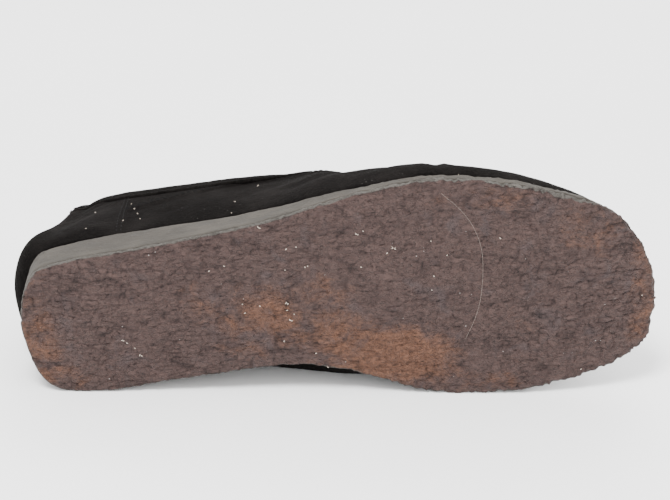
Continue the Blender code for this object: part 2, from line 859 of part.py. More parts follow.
def knot(pose):
    """The knot as a plain rounded solid on the crossing."""
    way = way_at(KNOT_PLACE, False)
    up = Vector(form_normal(way, CREST_ANGLE))
    across = Vector((0.0, 1.0, 0.0))
    ahead = across.cross(up).normalized()
    frame = Matrix((ahead, up.cross(ahead), up)).transposed().to_4x4()
    work = bmesh.new()
    bmesh.ops.create_uvsphere(work, u_segments=12, v_segments=8, radius=0.5)
    bmesh.ops.scale(work, verts=work.verts, vec=(KNOT_LENGTH, KNOT_WIDTH, KNOT_HEIGHT))
    work.transform(pose @ Matrix.Translation(knot_middle()) @ frame)
    vertices = [v.co.copy() for v in work.verts]
    faces = [[v.index for v in face.verts] for face in work.faces]
    work.free()
    return make_object("lace_knot", vertices, faces, LACE_GREY, 0.9)


def loop(name, route, pose):
    """One loop of the bow, its flat side turned away from the loop's middle."""
    middle = knot_middle()
    path = [pose @ (middle + Vector(step)) for step in open_curve(route, 2)]
    centre = sum(path, Vector()) / len(path)
    return ribbon(name, path, [point - centre for point in path], LACE_GREY)


def free_end(name, route, pose):
    """A free end that hangs from the knot and lies on the floor. Returns its last point and direction."""
    start = pose @ knot_middle()
    drop = start.z - KNOT_WIDTH / 2 - GAP - LACE_THICKNESS
    path, normals = [], []
    for ahead, away, share in open_curve(route, 2):
        path.append(Vector((start.x + ahead, start.y + away, LACE_THICKNESS / 2 + drop * max(0.0, share))))
        normals.append((0.0, share, 1.0 - share))
    ribbon(name, path, normals, LACE_GREY)
    return path[-1], path[-1] - path[-3]


def aglet(name, end, ahead):
    """A clear sheath on the end of a lace, lying on the floor."""
    level = Vector((ahead.x, ahead.y, 0.0)).normalized()
    across = Vector((0.0, 0.0, 1.0)).cross(level)
    sides = 12
    rings = []
    for step in (GAP, GAP + AGLET_LENGTH):
        middle = Vector((end.x, end.y, AGLET_DIAMETER / 2)) + level * step
        ring = []
        for k in range(sides):
            turn = 2 * math.pi * k / sides
            out = across * math.cos(turn) + Vector((0.0, 0.0, 1.0)) * math.sin(turn)
            ring.append(middle + out * AGLET_DIAMETER / 2)
        rings.append(ring)
    return sweep(name, rings, CLEAR_PLASTIC, 0.2)


def volume_centre(things):
    """Centre of volume of the meshes in their own frame."""
    total, moment = 0.0, Vector((0.0, 0.0, 0.0))
    for thing in things:
        mesh = thing.data
        for face in mesh.polygons:
            a, b, c = (mesh.vertices[v].co for v in face.vertices)
            part = a.dot(b.cross(c)) / 6.0
            total += part
            moment += part * (a + b + c) / 4.0
    return moment / total


def rest_matrix(things):
    """The pose that lays the shoe on its inner side: the hull face under the centre that faces inwards."""
    work = bmesh.new()
    for thing in things:
        for vertex in thing.data.vertices:
            work.verts.new(vertex.co)
    hull = bmesh.ops.convex_hull(work, input=work.verts)
    faces = [item for item in hull["geom"] if isinstance(item, bmesh.types.BMFace)]
    centre = volume_centre(things)
    middle = sum((v.co for v in work.verts), Vector()) / len(work.verts)
    best, best_share = None, -1.0
    for face in faces:
        corners = [v.co.copy() for v in face.verts]
        normal = (corners[1] - corners[0]).cross(corners[2] - corners[0])
        if normal.length < 1e-12:
            continue
        normal.normalize()
        if normal.dot(corners[0] - middle) < 0:
            normal.negate()
            corners.reverse()
        inside = all(
            (corners[(k + 1) % 3] - corners[k]).cross(centre - corners[k]).dot(normal) >= 0 for k in range(3)
        )
        if inside and normal.y > best_share:
            best, best_share = normal.copy(), normal.y
    work.free()
    up = -best
    ahead = Vector((1.0, 0.0, 0.0))
    ahead = (ahead - up * ahead.dot(up)).normalized()
    turn = Matrix((ahead, up.cross(ahead), up))
    placed = [turn @ v.co for thing in things for v in thing.data.vertices]
    low = Vector(min(p[i] for p in placed) for i in range(3))
    high = Vector(max(p[i] for p in placed) for i in range(3))
    origin = Vector(((low.x + high.x) / 2, (low.y + high.y) / 2, low.z))
    return Matrix.Translation(-origin) @ turn.to_4x4()


def main():
    for thing in list(bpy.data.objects):
        bpy.data.objects.remove(thing)
    main_form = [outsole(), wedge(), upper()]
    inside = [insole(), tongue(), collar_band()]
    laces = [
        lace_run("lace_bar", LOWER_HOLES, LOWER_HOLES),
        lace_run("lace_crossing", UPPER_HOLES, KNOT_PLACE - 0.002),
    ]
    pose = bpy.data.objects.new("lying", None)
    bpy.context.collection.objects.link(pose)
    for thing in main_form + inside + laces:
        thing.parent = pose
    lying = rest_matrix(main_form + inside)
    pose.matrix_world = lying
    bpy.context.view_layer.update()
    knot(lying)
    loop("lace_loop_big", BIG_LOOP, lying)
    loop("lace_loop_small", SMALL_LOOP, lying)
    aglet("aglet_heel", *free_end("lace_end_heel", END_TO_HEEL, lying))
    aglet("aglet_toe", *free_end("lace_end_toe", END_TO_TOE, lying))


main()
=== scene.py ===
"""Looks of a low black suede lace-up shoe with a crepe wedge sole, lying on its inner side.

Shapes are worked out in the shoe's standing frame, as in the frame model's source: x from the heel's back
to the toe, y to the inner side, z up from the tread. lay() then puts them where the lying shoe is.
"""

import math

import bmesh
import bpy
import numpy as np
from mathutils import Matrix, Vector


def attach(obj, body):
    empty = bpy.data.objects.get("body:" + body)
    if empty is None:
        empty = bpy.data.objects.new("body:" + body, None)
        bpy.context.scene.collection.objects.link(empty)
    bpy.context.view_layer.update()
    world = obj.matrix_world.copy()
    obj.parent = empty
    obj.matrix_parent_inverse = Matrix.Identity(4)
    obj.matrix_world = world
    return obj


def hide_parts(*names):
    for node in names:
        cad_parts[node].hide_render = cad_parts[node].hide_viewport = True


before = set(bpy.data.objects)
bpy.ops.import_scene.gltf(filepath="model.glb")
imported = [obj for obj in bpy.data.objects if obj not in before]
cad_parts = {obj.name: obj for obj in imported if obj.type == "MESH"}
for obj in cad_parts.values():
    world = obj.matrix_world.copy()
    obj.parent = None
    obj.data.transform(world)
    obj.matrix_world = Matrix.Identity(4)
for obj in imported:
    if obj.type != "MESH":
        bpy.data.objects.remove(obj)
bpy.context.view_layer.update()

# Sole
LENGTH = 0.295
BALL_WIDTH = 0.1105
OUTSOLE_THICKNESS = 0.003
HEEL_STACK = 0.0213
FOREFOOT_STACK = 0.0068
TOE_SPRING = 0.008
TOE_DRAFT = 0.0012
ARCH_FLARE = 0.0065

# Upper
WALL = 0.002
INSTEP_HEIGHT = 0.069
HEEL_HEIGHT = 0.093
COLLAR_LOW = 0.077
COLLAR_TILT = 0.004
SIDE_MARGIN = 0.0006
TOE_MARGIN = 0.0042
HEEL_SWELL = 0.0106
INNER_SWELL = 0.0108
SIDE_SWELL = 0.0012
SWELL_HEIGHT = 0.026
LEAN_HEIGHT = 0.046
SEAM_RELIEF = 0.0014
SEAM_WIDTH = 0.0032

# Throat, collar and foot bed
FACING_TOP = 0.138
THROAT_END = 0.166
FACING_OPENING = 0.020
CORNER_LENGTH = 0.005
BAND_HEIGHT = 0.010
BAND_THICKNESS = 0.0012
BAND_STOP = 0.0012
INSOLE_THICKNESS = 0.003
INSOLE_CLEARANCE = 0.0009
TONGUE_THICKNESS = 0.0022
TONGUE_WIDTH = 0.040
TONGUE_RISE = 0.005
TONGUE_TAIL = 0.012

# Laces
LACE_WIDTH = 0.0055
LACE_THICKNESS = 0.0012
HOLE_DIAMETER = 0.005
HOLE_MARGIN = 0.0075
LOWER_HOLES = 0.160
UPPER_HOLES = 0.146
KNOT_PLACE = 0.152
KNOT_LENGTH = 0.012
KNOT_WIDTH = 0.011
KNOT_HEIGHT = 0.0075
AGLET_LENGTH = 0.024
AGLET_DIAMETER = 0.0033
GAP = 0.0003
SOFT_GAP = 0.0005

# Shares
HEEL_FAN = 0.17
TOE_FAN = 0.73
SPRING_START = 0.76
DRAFT_START = 0.75
DRAFT_REACH = 0.20
MARGIN_START = 0.72
MARGIN_REACH = 0.24
ARCH_CENTRE = 0.44
ARCH_REACH = 0.17
HEEL_REACH = 0.16
INNER_CENTRE = 0.40
INNER_REACH = 0.30
TILT_REACH = 0.20
LEAN_INNER_REACH = 0.10
HEEL_SPREAD = 0.15
TOE_SPREAD = 0.60
SWELL_POWER = 0.6
OUTER_CORNER = 1.5
INNER_CORNER = 2.0
LEAN_CREST = 0.45
FACING_TOP_SHARE = 1.10
FACING_TAPER = 0.25
SEAM_LIMIT = 0.7
SEAM_INSET_LIMIT = 0.6
TONGUE_NECK = 0.58
TONGUE_NECK_REACH = 0.35
HOLE_LACE_SHARE = 0.55
END_CROWDING = 0.42
CREST_ANGLE = math.pi / 2 - 0.002
ANGLE_STEP = 0.01
WAY_STEP = 0.004

# The worn quarter that hangs out over the sole's inner waist: how far, how clear of the floor, where along
# (shares of LENGTH), and where over the sole it starts and fades
WAIST_BULGE = 0.0075
WAIST_CLEARANCE = 0.0020
WAIST_MIDDLE = 0.43
WAIST_REACH = 0.085
WAIST_START = 0.005
WAIST_FADE = 0.010
WAIST_FADE_REACH = 0.022

# Fine relief and grids that are in the looks only
QUARTER_STEP = 0.00085
SEAM_PITCH = 0.0058
TREAD_RELIEF = 0.00048
TREAD_WAYS = 490
TREAD_ROWS = 84
WEDGE_WAYS = 300
BED_WAYS = 120
UPPER_WAYS = 190
TOPLINE_WAYS = 130
RIBBON_SIDES = 20
CORE_ROWS = 12
FLECK_ROWS = 7
FLECK_SIDES = 5
FLECK_RADIUS = 0.00017
LINT_SIZE = 0.0010
HAIR_RADIUS = 0.000045
HAIR_LIFT = 0.00055
SEAM_GATHER = 0.00042
SEAM_GROOVE = 0.00055
RIM_ROUNDING = 0.0004
BEAD_DEPTH = 0.00062
COLLAR_PAD = 0.00055
COLLAR_GROOVE = 0.00035
COLLAR_WAVE = 0.0004
COLLAR_THINNING = 0.45
RIBBON_THICKNESS = 0.94 * LACE_THICKNESS
STITCH_LIFT = 0.00005
STITCH_SWAY = 0.10
SEAM_INSETS = (0.0019, 0.0040)
SEAM_TOP = 0.0690

# Waves of the suede. Columns: depth, size (both in metres), seed
SUEDE_WAVES = [(0.00045, 0.034, 61.0), (0.00016, 0.010, 67.0), (0.00005, 0.0022, 71.0)]

# Tears of the crepe's trimmed edge. Columns: depth, size round the shoe and up (metres), seed
TEARS = [(0.00060, 0.0060, 0.005, 33.0), (0.00046, 0.0013, 0.002, 37.0)]

# Stitch rows. Columns: pitch, length of a stitch, width of the thread, slant, seed
SEAM_STITCH = (0.0030, 0.0024, 0.00052, 0.0, 3)
COLLAR_STITCH = (0.0032, 0.0025, 0.00055, 0.0, 5)
FACING_STITCH = (0.0030, 0.0024, 0.00052, 0.0, 7)
APRON_STITCH = (SEAM_PITCH, 0.0046, 0.00105, 1.25, 11)

# How the shoe lies: the world's up as seen from the standing shoe, and where its heel's ground point goes
LIE_SLOPE = 0.045965
LIE_TILT = 0.015419
LIE_PLACE = np.array([-0.144584, -0.046494, 0.037361])

# Tread outline. Columns: along (share of LENGTH), across (share of BALL_WIDTH, inner side positive)
OUTLINE = [
    (0.000, 0.020), (0.020, -0.195), (0.070, -0.264), (0.200, -0.323), (0.370, -0.407), (0.540, -0.537),
    (0.675, -0.582), (0.830, -0.508), (0.935, -0.375), (0.985, -0.165), (1.000, 0.040), (0.983, 0.230),
    (0.930, 0.322), (0.820, 0.404), (0.720, 0.426), (0.630, 0.400), (0.545, 0.318), (0.470, 0.265),
    (0.400, 0.256), (0.240, 0.308), (0.110, 0.351), (0.030, 0.295),
]

# Sole thickness. Columns: along (share of LENGTH), share of the step from forefoot stack to heel stack
STACK = [
    (0.00, 0.95), (0.15, 1.00), (0.27, 0.82), (0.36, 0.66), (0.43, 0.46), (0.50, 0.20), (0.56, 0.06),
    (0.64, 0.00), (1.00, 0.00),
]

# The last's closed form. Columns: along (share of LENGTH), centre (share of BALL_WIDTH),
# crest (height over the ground, share of INSTEP_HEIGHT), fullness of the side
LAST = [
    (0.00, 0.020, 1.90, 1.80), (0.16, 0.010, 1.82, 1.90), (0.34, -0.020, 1.58, 2.15),
    (0.43, -0.035, 1.41, 2.30), (0.47, -0.040, 1.31, 2.25), (0.50, -0.045, 1.13, 2.15),
    (0.53, -0.045, 1.01, 2.05), (0.56, -0.045, 0.94, 1.95), (0.60, -0.050, 0.87, 1.85),
    (0.68, -0.060, 0.74, 1.75), (0.78, -0.055, 0.60, 1.70), (0.87, -0.035, 0.515, 1.75),
    (1.00, 0.000, 0.47, 1.80),
]

# Outer side's fullness over the sole. Columns: along (share of LENGTH), outwards (share of BALL_WIDTH)
OUTER_FULLNESS = [
    (0.00, 0.000), (0.50, 0.000), (0.60, 0.024), (0.70, 0.033), (0.90, 0.040), (1.00, 0.000),
]

# Lean of the heel and the outer side towards the ankle. Columns: along (share of LENGTH),
# inwards at the topline (share of BALL_WIDTH)
LEAN = [
    (0.00, 0.113), (0.04, 0.084), (0.09, 0.042), (0.14, 0.024), (0.22, 0.016), (0.30, 0.015),
    (0.37, 0.026), (0.42, 0.036), (0.50, 0.000),
]

# Topline. Columns: along (share of LENGTH), drop (share of the step from HEEL_HEIGHT to COLLAR_LOW)
TOPLINE = [
    (0.00, 0.00), (0.04, 0.05), (0.09, 0.35), (0.17, 0.74), (0.26, 0.96), (0.34, 1.00), (0.40, 0.82),
    (0.44, 0.60), (0.50, 0.42),
]

# Apron seam. Columns: along (share of LENGTH), inset from the widest line (share of BALL_WIDTH), relief
SEAM = [
    (0.00, 0.140, 0.0), (0.50, 0.230, 0.0), (0.56, 0.235, 0.0), (0.585, 0.225, 1.0), (0.64, 0.165, 1.0),
    (0.72, 0.125, 1.0), (1.00, 0.115, 1.0),
]

# Lower edge of the quarters and of their lace tabs. Columns: along, height over the ground
QUARTER_EDGE = [
    (0.049, 0.0480), (0.062, 0.0520), (0.076, 0.0560), (0.090, 0.0600), (0.105, 0.0635),
    (0.118, 0.0645), (0.130, 0.0620), (0.141, 0.0565), (0.151, 0.0515), (0.159, 0.0500),
    (0.165, 0.0520), (0.169, 0.0565), (0.172, 0.0620),
]

# Wear folds of the vamp. Columns: along at the crest and at the side, share of the way down, depth, width
FLEX_FOLDS = [
    (0.183, 0.196, 0.92, 0.0012, 0.0030), (0.193, 0.205, 0.80, 0.0009, 0.0026),
    (0.203, 0.215, 0.66, 0.0007, 0.0024), (0.176, 0.183, 0.60, 0.0006, 0.0022),
]

# Soft folds of the quarters. Columns: along and height of the start and of the end, depth, width, share of
# the depth on the inner side
SIDE_FOLDS = [
    (0.120, 0.030, 0.158, 0.046, 0.0009, 0.0042, 1.0), (0.096, 0.034, 0.128, 0.052, 0.0007, 0.0040, 0.35),
    (0.062, 0.034, 0.080, 0.044, 0.0005, 0.0034, 1.0), (0.010, 0.052, 0.040, 0.060, 0.0006, 0.0036, 1.0),
    (0.020, 0.066, 0.046, 0.071, 0.0005, 0.0030, 1.0), (0.150, 0.024, 0.186, 0.034, 0.0006, 0.0036, 1.0),
    (0.196, 0.018, 0.224, 0.026, 0.0005, 0.0034, 1.0),
]
OUTER_FOLD_SHARE = 0.8

# Hollows pressed into the foot bed. Columns: along, reach (shares of LENGTH), depth
BED_HOLLOWS = [(0.12, 0.10, 0.0009), (0.68, 0.12, 0.0009)]

# Routes of the bow's loops from the knot's middle, in the standing frame. Columns: ahead, inwards, up
BIG_LOOP = [
    (-0.0044, -0.0005, 0.0053), (-0.0066, -0.0005, 0.0110), (-0.0114, 0.0010, 0.0167),
    (-0.0179, 0.0050, 0.0205), (-0.0254, 0.0125, 0.0215), (-0.0314, 0.0220, 0.0183),
    (-0.0341, 0.0310, 0.0130), (-0.0319, 0.0365, 0.0078), (-0.0249, 0.0380, 0.0043),
    (-0.0164, 0.0355, 0.0020), (-0.0100, 0.0262, 0.0030), (-0.0064, 0.0155, 0.0050),
    (-0.0050, 0.0066, 0.0058),
]
SMALL_LOOP = [
    (0.0034, 0.0010, 0.0033), (0.0051, 0.0015, 0.0075), (0.0086, 0.0030, 0.0085),
    (0.0131, 0.0050, 0.0043), (0.0164, 0.0075, -0.0025), (0.0179, 0.0090, -0.0090),
    (0.0161, 0.0095, -0.0117), (0.0121, 0.0085, -0.0100), (0.0081, 0.0060, -0.0069),
    (0.0052, 0.0038, -0.0040),
]

# Wraps of the knot. Columns: turn about up, lean, length, height, shift sideways (metres), width
KNOT_WRAPS = [
    (0.0, 0.0, 0.86, 0.80, 0.0000, 1.00), (1.25, 0.25, 0.84, 0.66, 0.0006, 0.92),
    (-1.05, -0.28, 0.84, 0.66, -0.0008, 0.92), (1.57, 0.0, 0.70, 0.55, -0.0004, 0.80),
]
WRAP_ROWS = 48

# Routes of the free ends, in the lying frame. Columns: along X and along Y from the knot's middle,
# height (share of the height of the knot's underside over the floor)
END_TO_HEEL = [
    (0.0002, 0.0022, 1.028), (0.0002, 0.0040, 0.955), (-0.0004, 0.0070, 0.870),
    (-0.0022, 0.0118, 0.720), (-0.0054, 0.0170, 0.500), (-0.0092, 0.0212, 0.260),
    (-0.0140, 0.0255, 0.070), (-0.0190, 0.0295, 0.000), (-0.0250, 0.0326, 0.020),
]
END_TO_TOE = [
    (0.0022, -0.0014, 1.025), (0.0034, 0.0000, 0.940), (0.0050, 0.0020, 0.840), (0.0073, 0.0046, 0.620),
    (0.0110, 0.0080, 0.340), (0.0155, 0.0120, 0.130), (0.0205, 0.0160, 0.020), (0.0265, 0.0195, 0.000),
    (0.0330, 0.0220, 0.020),
]

# Where the sole's grey rim turns brown towards the toe, along X of the lying frame
TOE_RIM_START = 0.112
TOE_RIM_END = 0.128

# Places of the tread that are rubbed orange, in the lying frame. Columns: X, Z, reach along both, strength
WORN_PLACES = [
    (0.014, 0.021, 0.032, 0.022, 0.92), (0.042, 0.023, 0.024, 0.015, 0.75),
    (-0.014, 0.046, 0.026, 0.018, 0.62), (-0.042, 0.036, 0.026, 0.020, 0.45),
    (-0.138, 0.036, 0.013, 0.056, 0.60), (-0.124, 0.008, 0.020, 0.007, 0.40),
    (0.145, 0.050, 0.009, 0.050, 0.58), (0.120, 0.086, 0.022, 0.014, 0.42),
    (0.060, 0.006, 0.032, 0.008, 0.50), (0.066, 0.104, 0.036, 0.008, 0.34),
    (-0.066, 0.050, 0.014, 0.010, 0.32),
]

# Camera, in the standing frame
VIEW_ANGLE = math.radians(27.0)
VIEW_ROLL = math.radians(-2.0)
VIEW_DISTANCE = 1.0
VIEW_CENTRE = np.array([0.14648, -0.03168, 0.0])
VIEW_FOCUS = 2191.9
PHOTO_WIDTH = 670
PHOTO_HEIGHT = 500
SENSOR_WIDTH = 36.0
CLIP_START = 0.05

# Lamps. Columns: name, place, size, power
LAMPS = [
    ("key", (-0.35, -0.85, 1.75), 0.55, 60.0), ("fill", (1.1, -1.2, 0.9), 1.2, 10.0),
    ("back", (0.3, 1.5, 1.4), 1.4, 26.0),
]
LAMP_AIM = (0.0, 0.0, 0.05)
WORLD_STRENGTH = 2.10
FLOOR_HALF = 4.0


def ease(value):
    """Eased step from 0 to 1."""
    t = np.clip(value, 0.0, 1.0)
    return t * t * (3.0 - 2.0 * t)


def hump(value):
    """Soft bump: 1 at 0, near 0 beyond 2."""
    return np.exp(-np.square(value))


def full_turn(count):
    """Even angles round a full turn."""
    return np.linspace(0.0, 2.0 * math.pi, count, endpoint=False)


def unit(vectors):
    """The vectors at length 1."""
    return vectors / np.linalg.norm(vectors, axis=-1, keepdims=True)


def table_value(table, column, share):
    """Smooth value of one column of a table at a share of the length."""
    xs = [row[0] for row in table]
    ys = [row[column] for row in table]
    if share <= xs[0]:
        return ys[0]
    if share >= xs[-1]:
        return ys[-1]
    i = max(k for k in range(len(xs) - 1) if xs[k] <= share)
    step = xs[i + 1] - xs[i]
    rise = (ys[i + 1] - ys[i]) / step
    before = (ys[i] - ys[i - 1]) / (xs[i] - xs[i - 1]) if i > 0 else rise
    after = (ys[i + 2] - ys[i + 1]) / (xs[i + 2] - xs[i + 1]) if i + 2 < len(xs) else rise
    start = 0.5 * (before + rise) if before * rise > 0 else 0.0
    end = 0.5 * (after + rise) if after * rise > 0 else 0.0
    t = (share - xs[i]) / step
    return (
        ys[i] * (1 + 2 * t) * (1 - t) ** 2
        + ys[i + 1] * t * t * (3 - 2 * t)
        + step * start * t * (1 - t) ** 2
        - step * end * t * t * (1 - t)
    )


class Track:
    """One column of a table as a smooth function of the share of the length."""

    def __init__(self, table, column):
        self.shares = np.linspace(table[0][0], table[-1][0], 801)
        self.values = np.array([table_value(table, column, s) for s in self.shares])

    def __call__(self, share):
        return np.interp(share, self.shares, self.values)


stack_share = Track(STACK, 1)
last_centre = Track(LAST, 1)
last_crest = Track(LAST, 2)
last_fullness = Track(LAST, 3)
outer_fullness = Track(OUTER_FULLNESS, 1)
lean_share = Track(LEAN, 1)
topline_drop = Track(TOPLINE, 1)
seam_inset = Track(SEAM, 1)
seam_relief = Track(SEAM, 2)
quarter_edge = Track(QUARTER_EDGE, 1)


def spline(rows, steps):
    """Samples of a smooth curve through all rows but the first and the last."""
    samples = []
    for p0, p1, p2, p3 in zip(rows, rows[1:], rows[2:], rows[3:]):
        for k in range(steps):
            t = k / steps
            bend = (2 * p0 - 5 * p1 + 4 * p2 - p3) * t**2 + (3 * p1 - p0 - 3 * p2 + p3) * t**3
            samples.append(0.5 * (2 * p1 + (p2 - p0) * t + bend))
    return samples


def closed_curve(points, steps):
    """Smooth closed curve through the points."""
    rows = [np.array(p) for p in points]
    return np.array(spline([rows[-1], *rows, rows[0], rows[1]], steps))


def open_curve(points, steps):
    """Smooth open curve through the points."""
    rows = [np.array(p, dtype=float) for p in points]
    rows = [2 * rows[0] - rows[1], *rows, 2 * rows[-1] - rows[-2]]
    return np.array(spline(rows, steps) + [rows[-2]])


def tread_sides():
    """The outer and the inner side of the tread outline, each from heel to toe."""
    loop = closed_curve([(along * LENGTH, across * BALL_WIDTH) for along, across in OUTLINE], 40)
    loop[:, 0] = (loop[:, 0] - loop[:, 0].min()) * LENGTH / np.ptp(loop[:, 0])
    loop = np.roll(loop, -int(loop[:, 0].argmin()), axis=0)
    toe = int(loop[:, 0].argmax())
    return loop[: toe + 1], np.vstack([loop[toe:], loop[:1]])[::-1]


OUTER_SIDE, INNER_SIDE = tread_sides()
OUTER_RUN = np.concatenate([[0.0], np.cumsum(np.hypot(*np.diff(OUTER_SIDE, axis=0).T))])
OUTER_RUN = OUTER_RUN / OUTER_RUN[-1]


def edge(way):
    """Points of the tread outline. way runs 0 to 1 along the outer side and 1 to 2 back along the inner."""
    way = np.mod(way, 2.0)
    x = np.interp(np.where(way <= 1.0, way, 2.0 - way), OUTER_RUN, OUTER_SIDE[:, 0])
    outer = np.interp(x, OUTER_SIDE[:, 0], OUTER_SIDE[:, 1])
    inner = np.interp(x, INNER_SIDE[:, 0], INNER_SIDE[:, 1])
    return np.stack([x, np.where(way <= 1.0, outer, inner)], axis=-1)


def along(way):
    """How far along the shoe a way is, as a share of LENGTH."""
    return edge(way)[..., 0] / LENGTH


def edge_out(way):
    """Outward direction of the tread outline, level."""
    run = edge(way + WAY_STEP) - edge(way - WAY_STEP)
    return unit(np.stack([run[..., 1], -run[..., 0]], axis=-1))


def edge_moved(way, out):
    """Points of the tread outline, moved outwards by out."""
    return edge(way) + edge_out(way) * out[..., None]


def round_run(way):
    """About how far round the shoe a way is, in metres, from the heel's back."""
    return np.mod(way, 2.0) * LENGTH


def is_inner(way):
    """Whether the way is on the shoe's inner side."""
    return np.mod(way, 2.0) > 1.0


def way_at(x, inner):
    """The way at a given x on the outer or the inner side."""
    half = np.interp(x, OUTER_SIDE[:, 0], OUTER_RUN)
    return np.where(inner, 2.0 - half, half)


def tread_height(x):
    """Height of the tread: flat from heel to ball, then the toe spring."""
    start = SPRING_START * LENGTH
    return TOE_SPRING * np.maximum(0.0, (x - start) / (LENGTH - start)) ** 2


def sole_top(x):
    """Height of the wedge's top."""
    return tread_height(x) + FOREFOOT_STACK + (HEEL_STACK - FOREFOOT_STACK) * stack_share(x / LENGTH)


def side_offset(way, rise):
    """How far the wedge's side stands out of the tread outline at a share of its height."""
    share = along(way)
    toe = ease((share - DRAFT_START) / DRAFT_REACH)
    arch = np.maximum(0.0, 1.0 - ((share - ARCH_CENTRE) / ARCH_REACH) ** 2) ** 2 * is_inner(way)
    return rise * (ARCH_FLARE * arch - TOE_DRAFT * toe)


def feather(way, inset=0.0):
    """The line on the wedge's top where the upper's outer face starts, moved in by inset."""
    share = along(way)
    margin = SIDE_MARGIN + (TOE_MARGIN - SIDE_MARGIN) * ease((share - MARGIN_START) / MARGIN_REACH)
    return edge_moved(way, side_offset(way, 1.0) - margin - inset)


def crest_point(x):
    """Where the rib that starts beside x ends on the last's crest line, and the crest's height there."""
    start, end = HEEL_FAN * LENGTH, TOE_FAN * LENGTH
    x = np.where(x < start, start - (start - x) * HEEL_SPREAD, x)
    x = np.where(x > end, end + (x - end) * TOE_SPREAD, x)
    centre = last_centre(x / LENGTH) * BALL_WIDTH
    return np.stack([x, centre], axis=-1), last_crest(x / LENGTH) * INSTEP_HEIGHT


def swell(way):
    """How far the upper's side stands out over its feather line."""
    share = along(way)
    corner = np.where(is_inner(way), INNER_CORNER, OUTER_CORNER)
    heel = HEEL_SWELL * (1.0 - ease(share / HEEL_REACH)) * np.maximum(0.0, -edge_out(way)[..., 0]) ** corner
    full = BALL_WIDTH * outer_fullness(share) * ~is_inner(way)
    arch = np.maximum(0.0, 1.0 - ((share - INNER_CENTRE) / INNER_REACH) ** 2) * is_inner(way)
    return SIDE_SWELL + heel + full + (INNER_SWELL - SIDE_SWELL) * ease(arch)


def lean(way, rise, angle):
    """How far the heel and the outer side lean inwards at a height over the sole, none at the crest."""
    share = along(way)
    kept = np.where(is_inner(way), 1.0 - ease(share / LEAN_INNER_REACH), 1.0)
    most = kept * BALL_WIDTH * lean_share(share)
    return most * ease(rise / LEAN_HEIGHT) * ease(np.cos(angle) / LEAN_CREST)


def waist_bulge(way, rise):
    """How much further the worn quarter hangs out over the sole's inner waist, close above the sole."""
    share = along(way)
    near = ease(rise / WAIST_START) * (1.0 - ease((rise - WAIST_FADE) / WAIST_FADE_REACH))
    return WAIST_BULGE * hump((share - WAIST_MIDDLE) / WAIST_REACH) * near * is_inner(way)


def form_point(way, angle):
    """Points of the last's closed form at an angle of 0 at the feather line and 90 degrees at the crest."""
    way, angle = np.broadcast_arrays(np.asarray(way, dtype=float), np.asarray(angle, dtype=float))
    start = feather(way)
    x = edge(way)[..., 0]
    crest, crest_height = crest_point(x)
    base = sole_top(x) + GAP
    reach = np.linalg.norm(start - crest, axis=-1)
    out = (start - crest) / reach[..., None]
    rise = (crest_height - base) * np.sin(angle) ** (2.0 / last_fullness(x / LENGTH))
    grown = swell(way)
    held = np.sin(math.pi / 2 * np.clip(rise / SWELL_HEIGHT, 0.0, 1.0)) ** SWELL_POWER
    level = (reach + grown) * np.maximum(0.0, np.cos(angle)) - grown * (1.0 - held)
    level = level - lean(way, rise, angle)
    plain = np.concatenate([crest + out * level[..., None], (base + rise)[..., None]], axis=-1)
    room = np.maximum(lay(plain)[..., 2] - WAIST_CLEARANCE, 0.0)
    bulge = waist_bulge(way, rise)
    plain[..., :2] += out * (bulge * room / (bulge + room + GAP))[..., None]
    return plain


def form_normal(way, angle):
    """Outward direction of the closed form."""
    way, angle = np.broadcast_arrays(np.asarray(way, dtype=float), np.asarray(angle, dtype=float))
    low = np.maximum(math.pi / 2 - CREST_ANGLE, angle - ANGLE_STEP)
    high = np.minimum(CREST_ANGLE, angle + ANGLE_STEP)
    up = form_point(way, high) - form_point(way, low)
    run = form_point(way + WAY_STEP, angle) - form_point(way - WAY_STEP, angle)
    return unit(np.cross(run, up))


def skin(way, angle, out=0.0):
    """Points on the closed form, moved outwards by out."""
    return form_point(way, angle) + form_normal(way, angle) * np.asarray(out)[..., None]


def angle_at_height(way, height):
    """The angle at a height over the ground."""
    x = edge(way)[..., 0]
    base = sole_top(x) + GAP
    share = np.clip((height - base) / (crest_point(x)[1] - base), 0.0, 0.999)
    return np.arcsin(share ** (last_fullness(x / LENGTH) / 2.0))


def form_reach(way):
    """Level distance from the crest line to the side of the closed form."""
    crest, _ = crest_point(edge(way)[..., 0])
    return np.linalg.norm(feather(way) - crest, axis=-1) + swell(way)


def angle_at_level(way, distance):
    """The angle at a level distance from the crest line."""
    return np.arccos(np.clip(distance / form_reach(way), 0.0, 0.999))


def topline_height(way):
    """Height of the topline over the ground, lower on the outer side."""
    share = along(way)
    drop = (HEEL_HEIGHT - COLLAR_LOW) * topline_drop(share)
    tilt = np.where(is_inner(way), 0.0, COLLAR_TILT * ease(share / TILT_REACH))
    return HEEL_HEIGHT - drop - tilt


def facing_distance(x):
    """Level distance of the facing's edge from the crest line, rounded in at the throat's end."""
    down = (x - FACING_TOP) / (THROAT_END - FACING_TOP)
    return FACING_OPENING / 2 * (FACING_TOP_SHARE - FACING_TAPER * down)


def opening_angle(way):
    """Where the upper's wall ends: at the topline, along the facing, or at the crest past the throat."""
    x = edge(way)[..., 0]
    facing = angle_at_level(way, facing_distance(x))
    collar = angle_at_height(way, topline_height(way))
    corner = ease((x - FACING_TOP) / CORNER_LENGTH)
    angle = np.where(x < FACING_TOP, collar, collar * (1 - corner) + facing * corner)
    return np.where(x >= THROAT_END, math.pi / 2, angle)


def seam_angle(way):
    """The angle of the apron's seam."""
    share = along(way)
    angle = np.arccos(1.0 - np.minimum(SEAM_INSET_LIMIT, seam_inset(share) * BALL_WIDTH / form_reach(way)))
    return np.minimum(angle, SEAM_LIMIT * opening_angle(way))


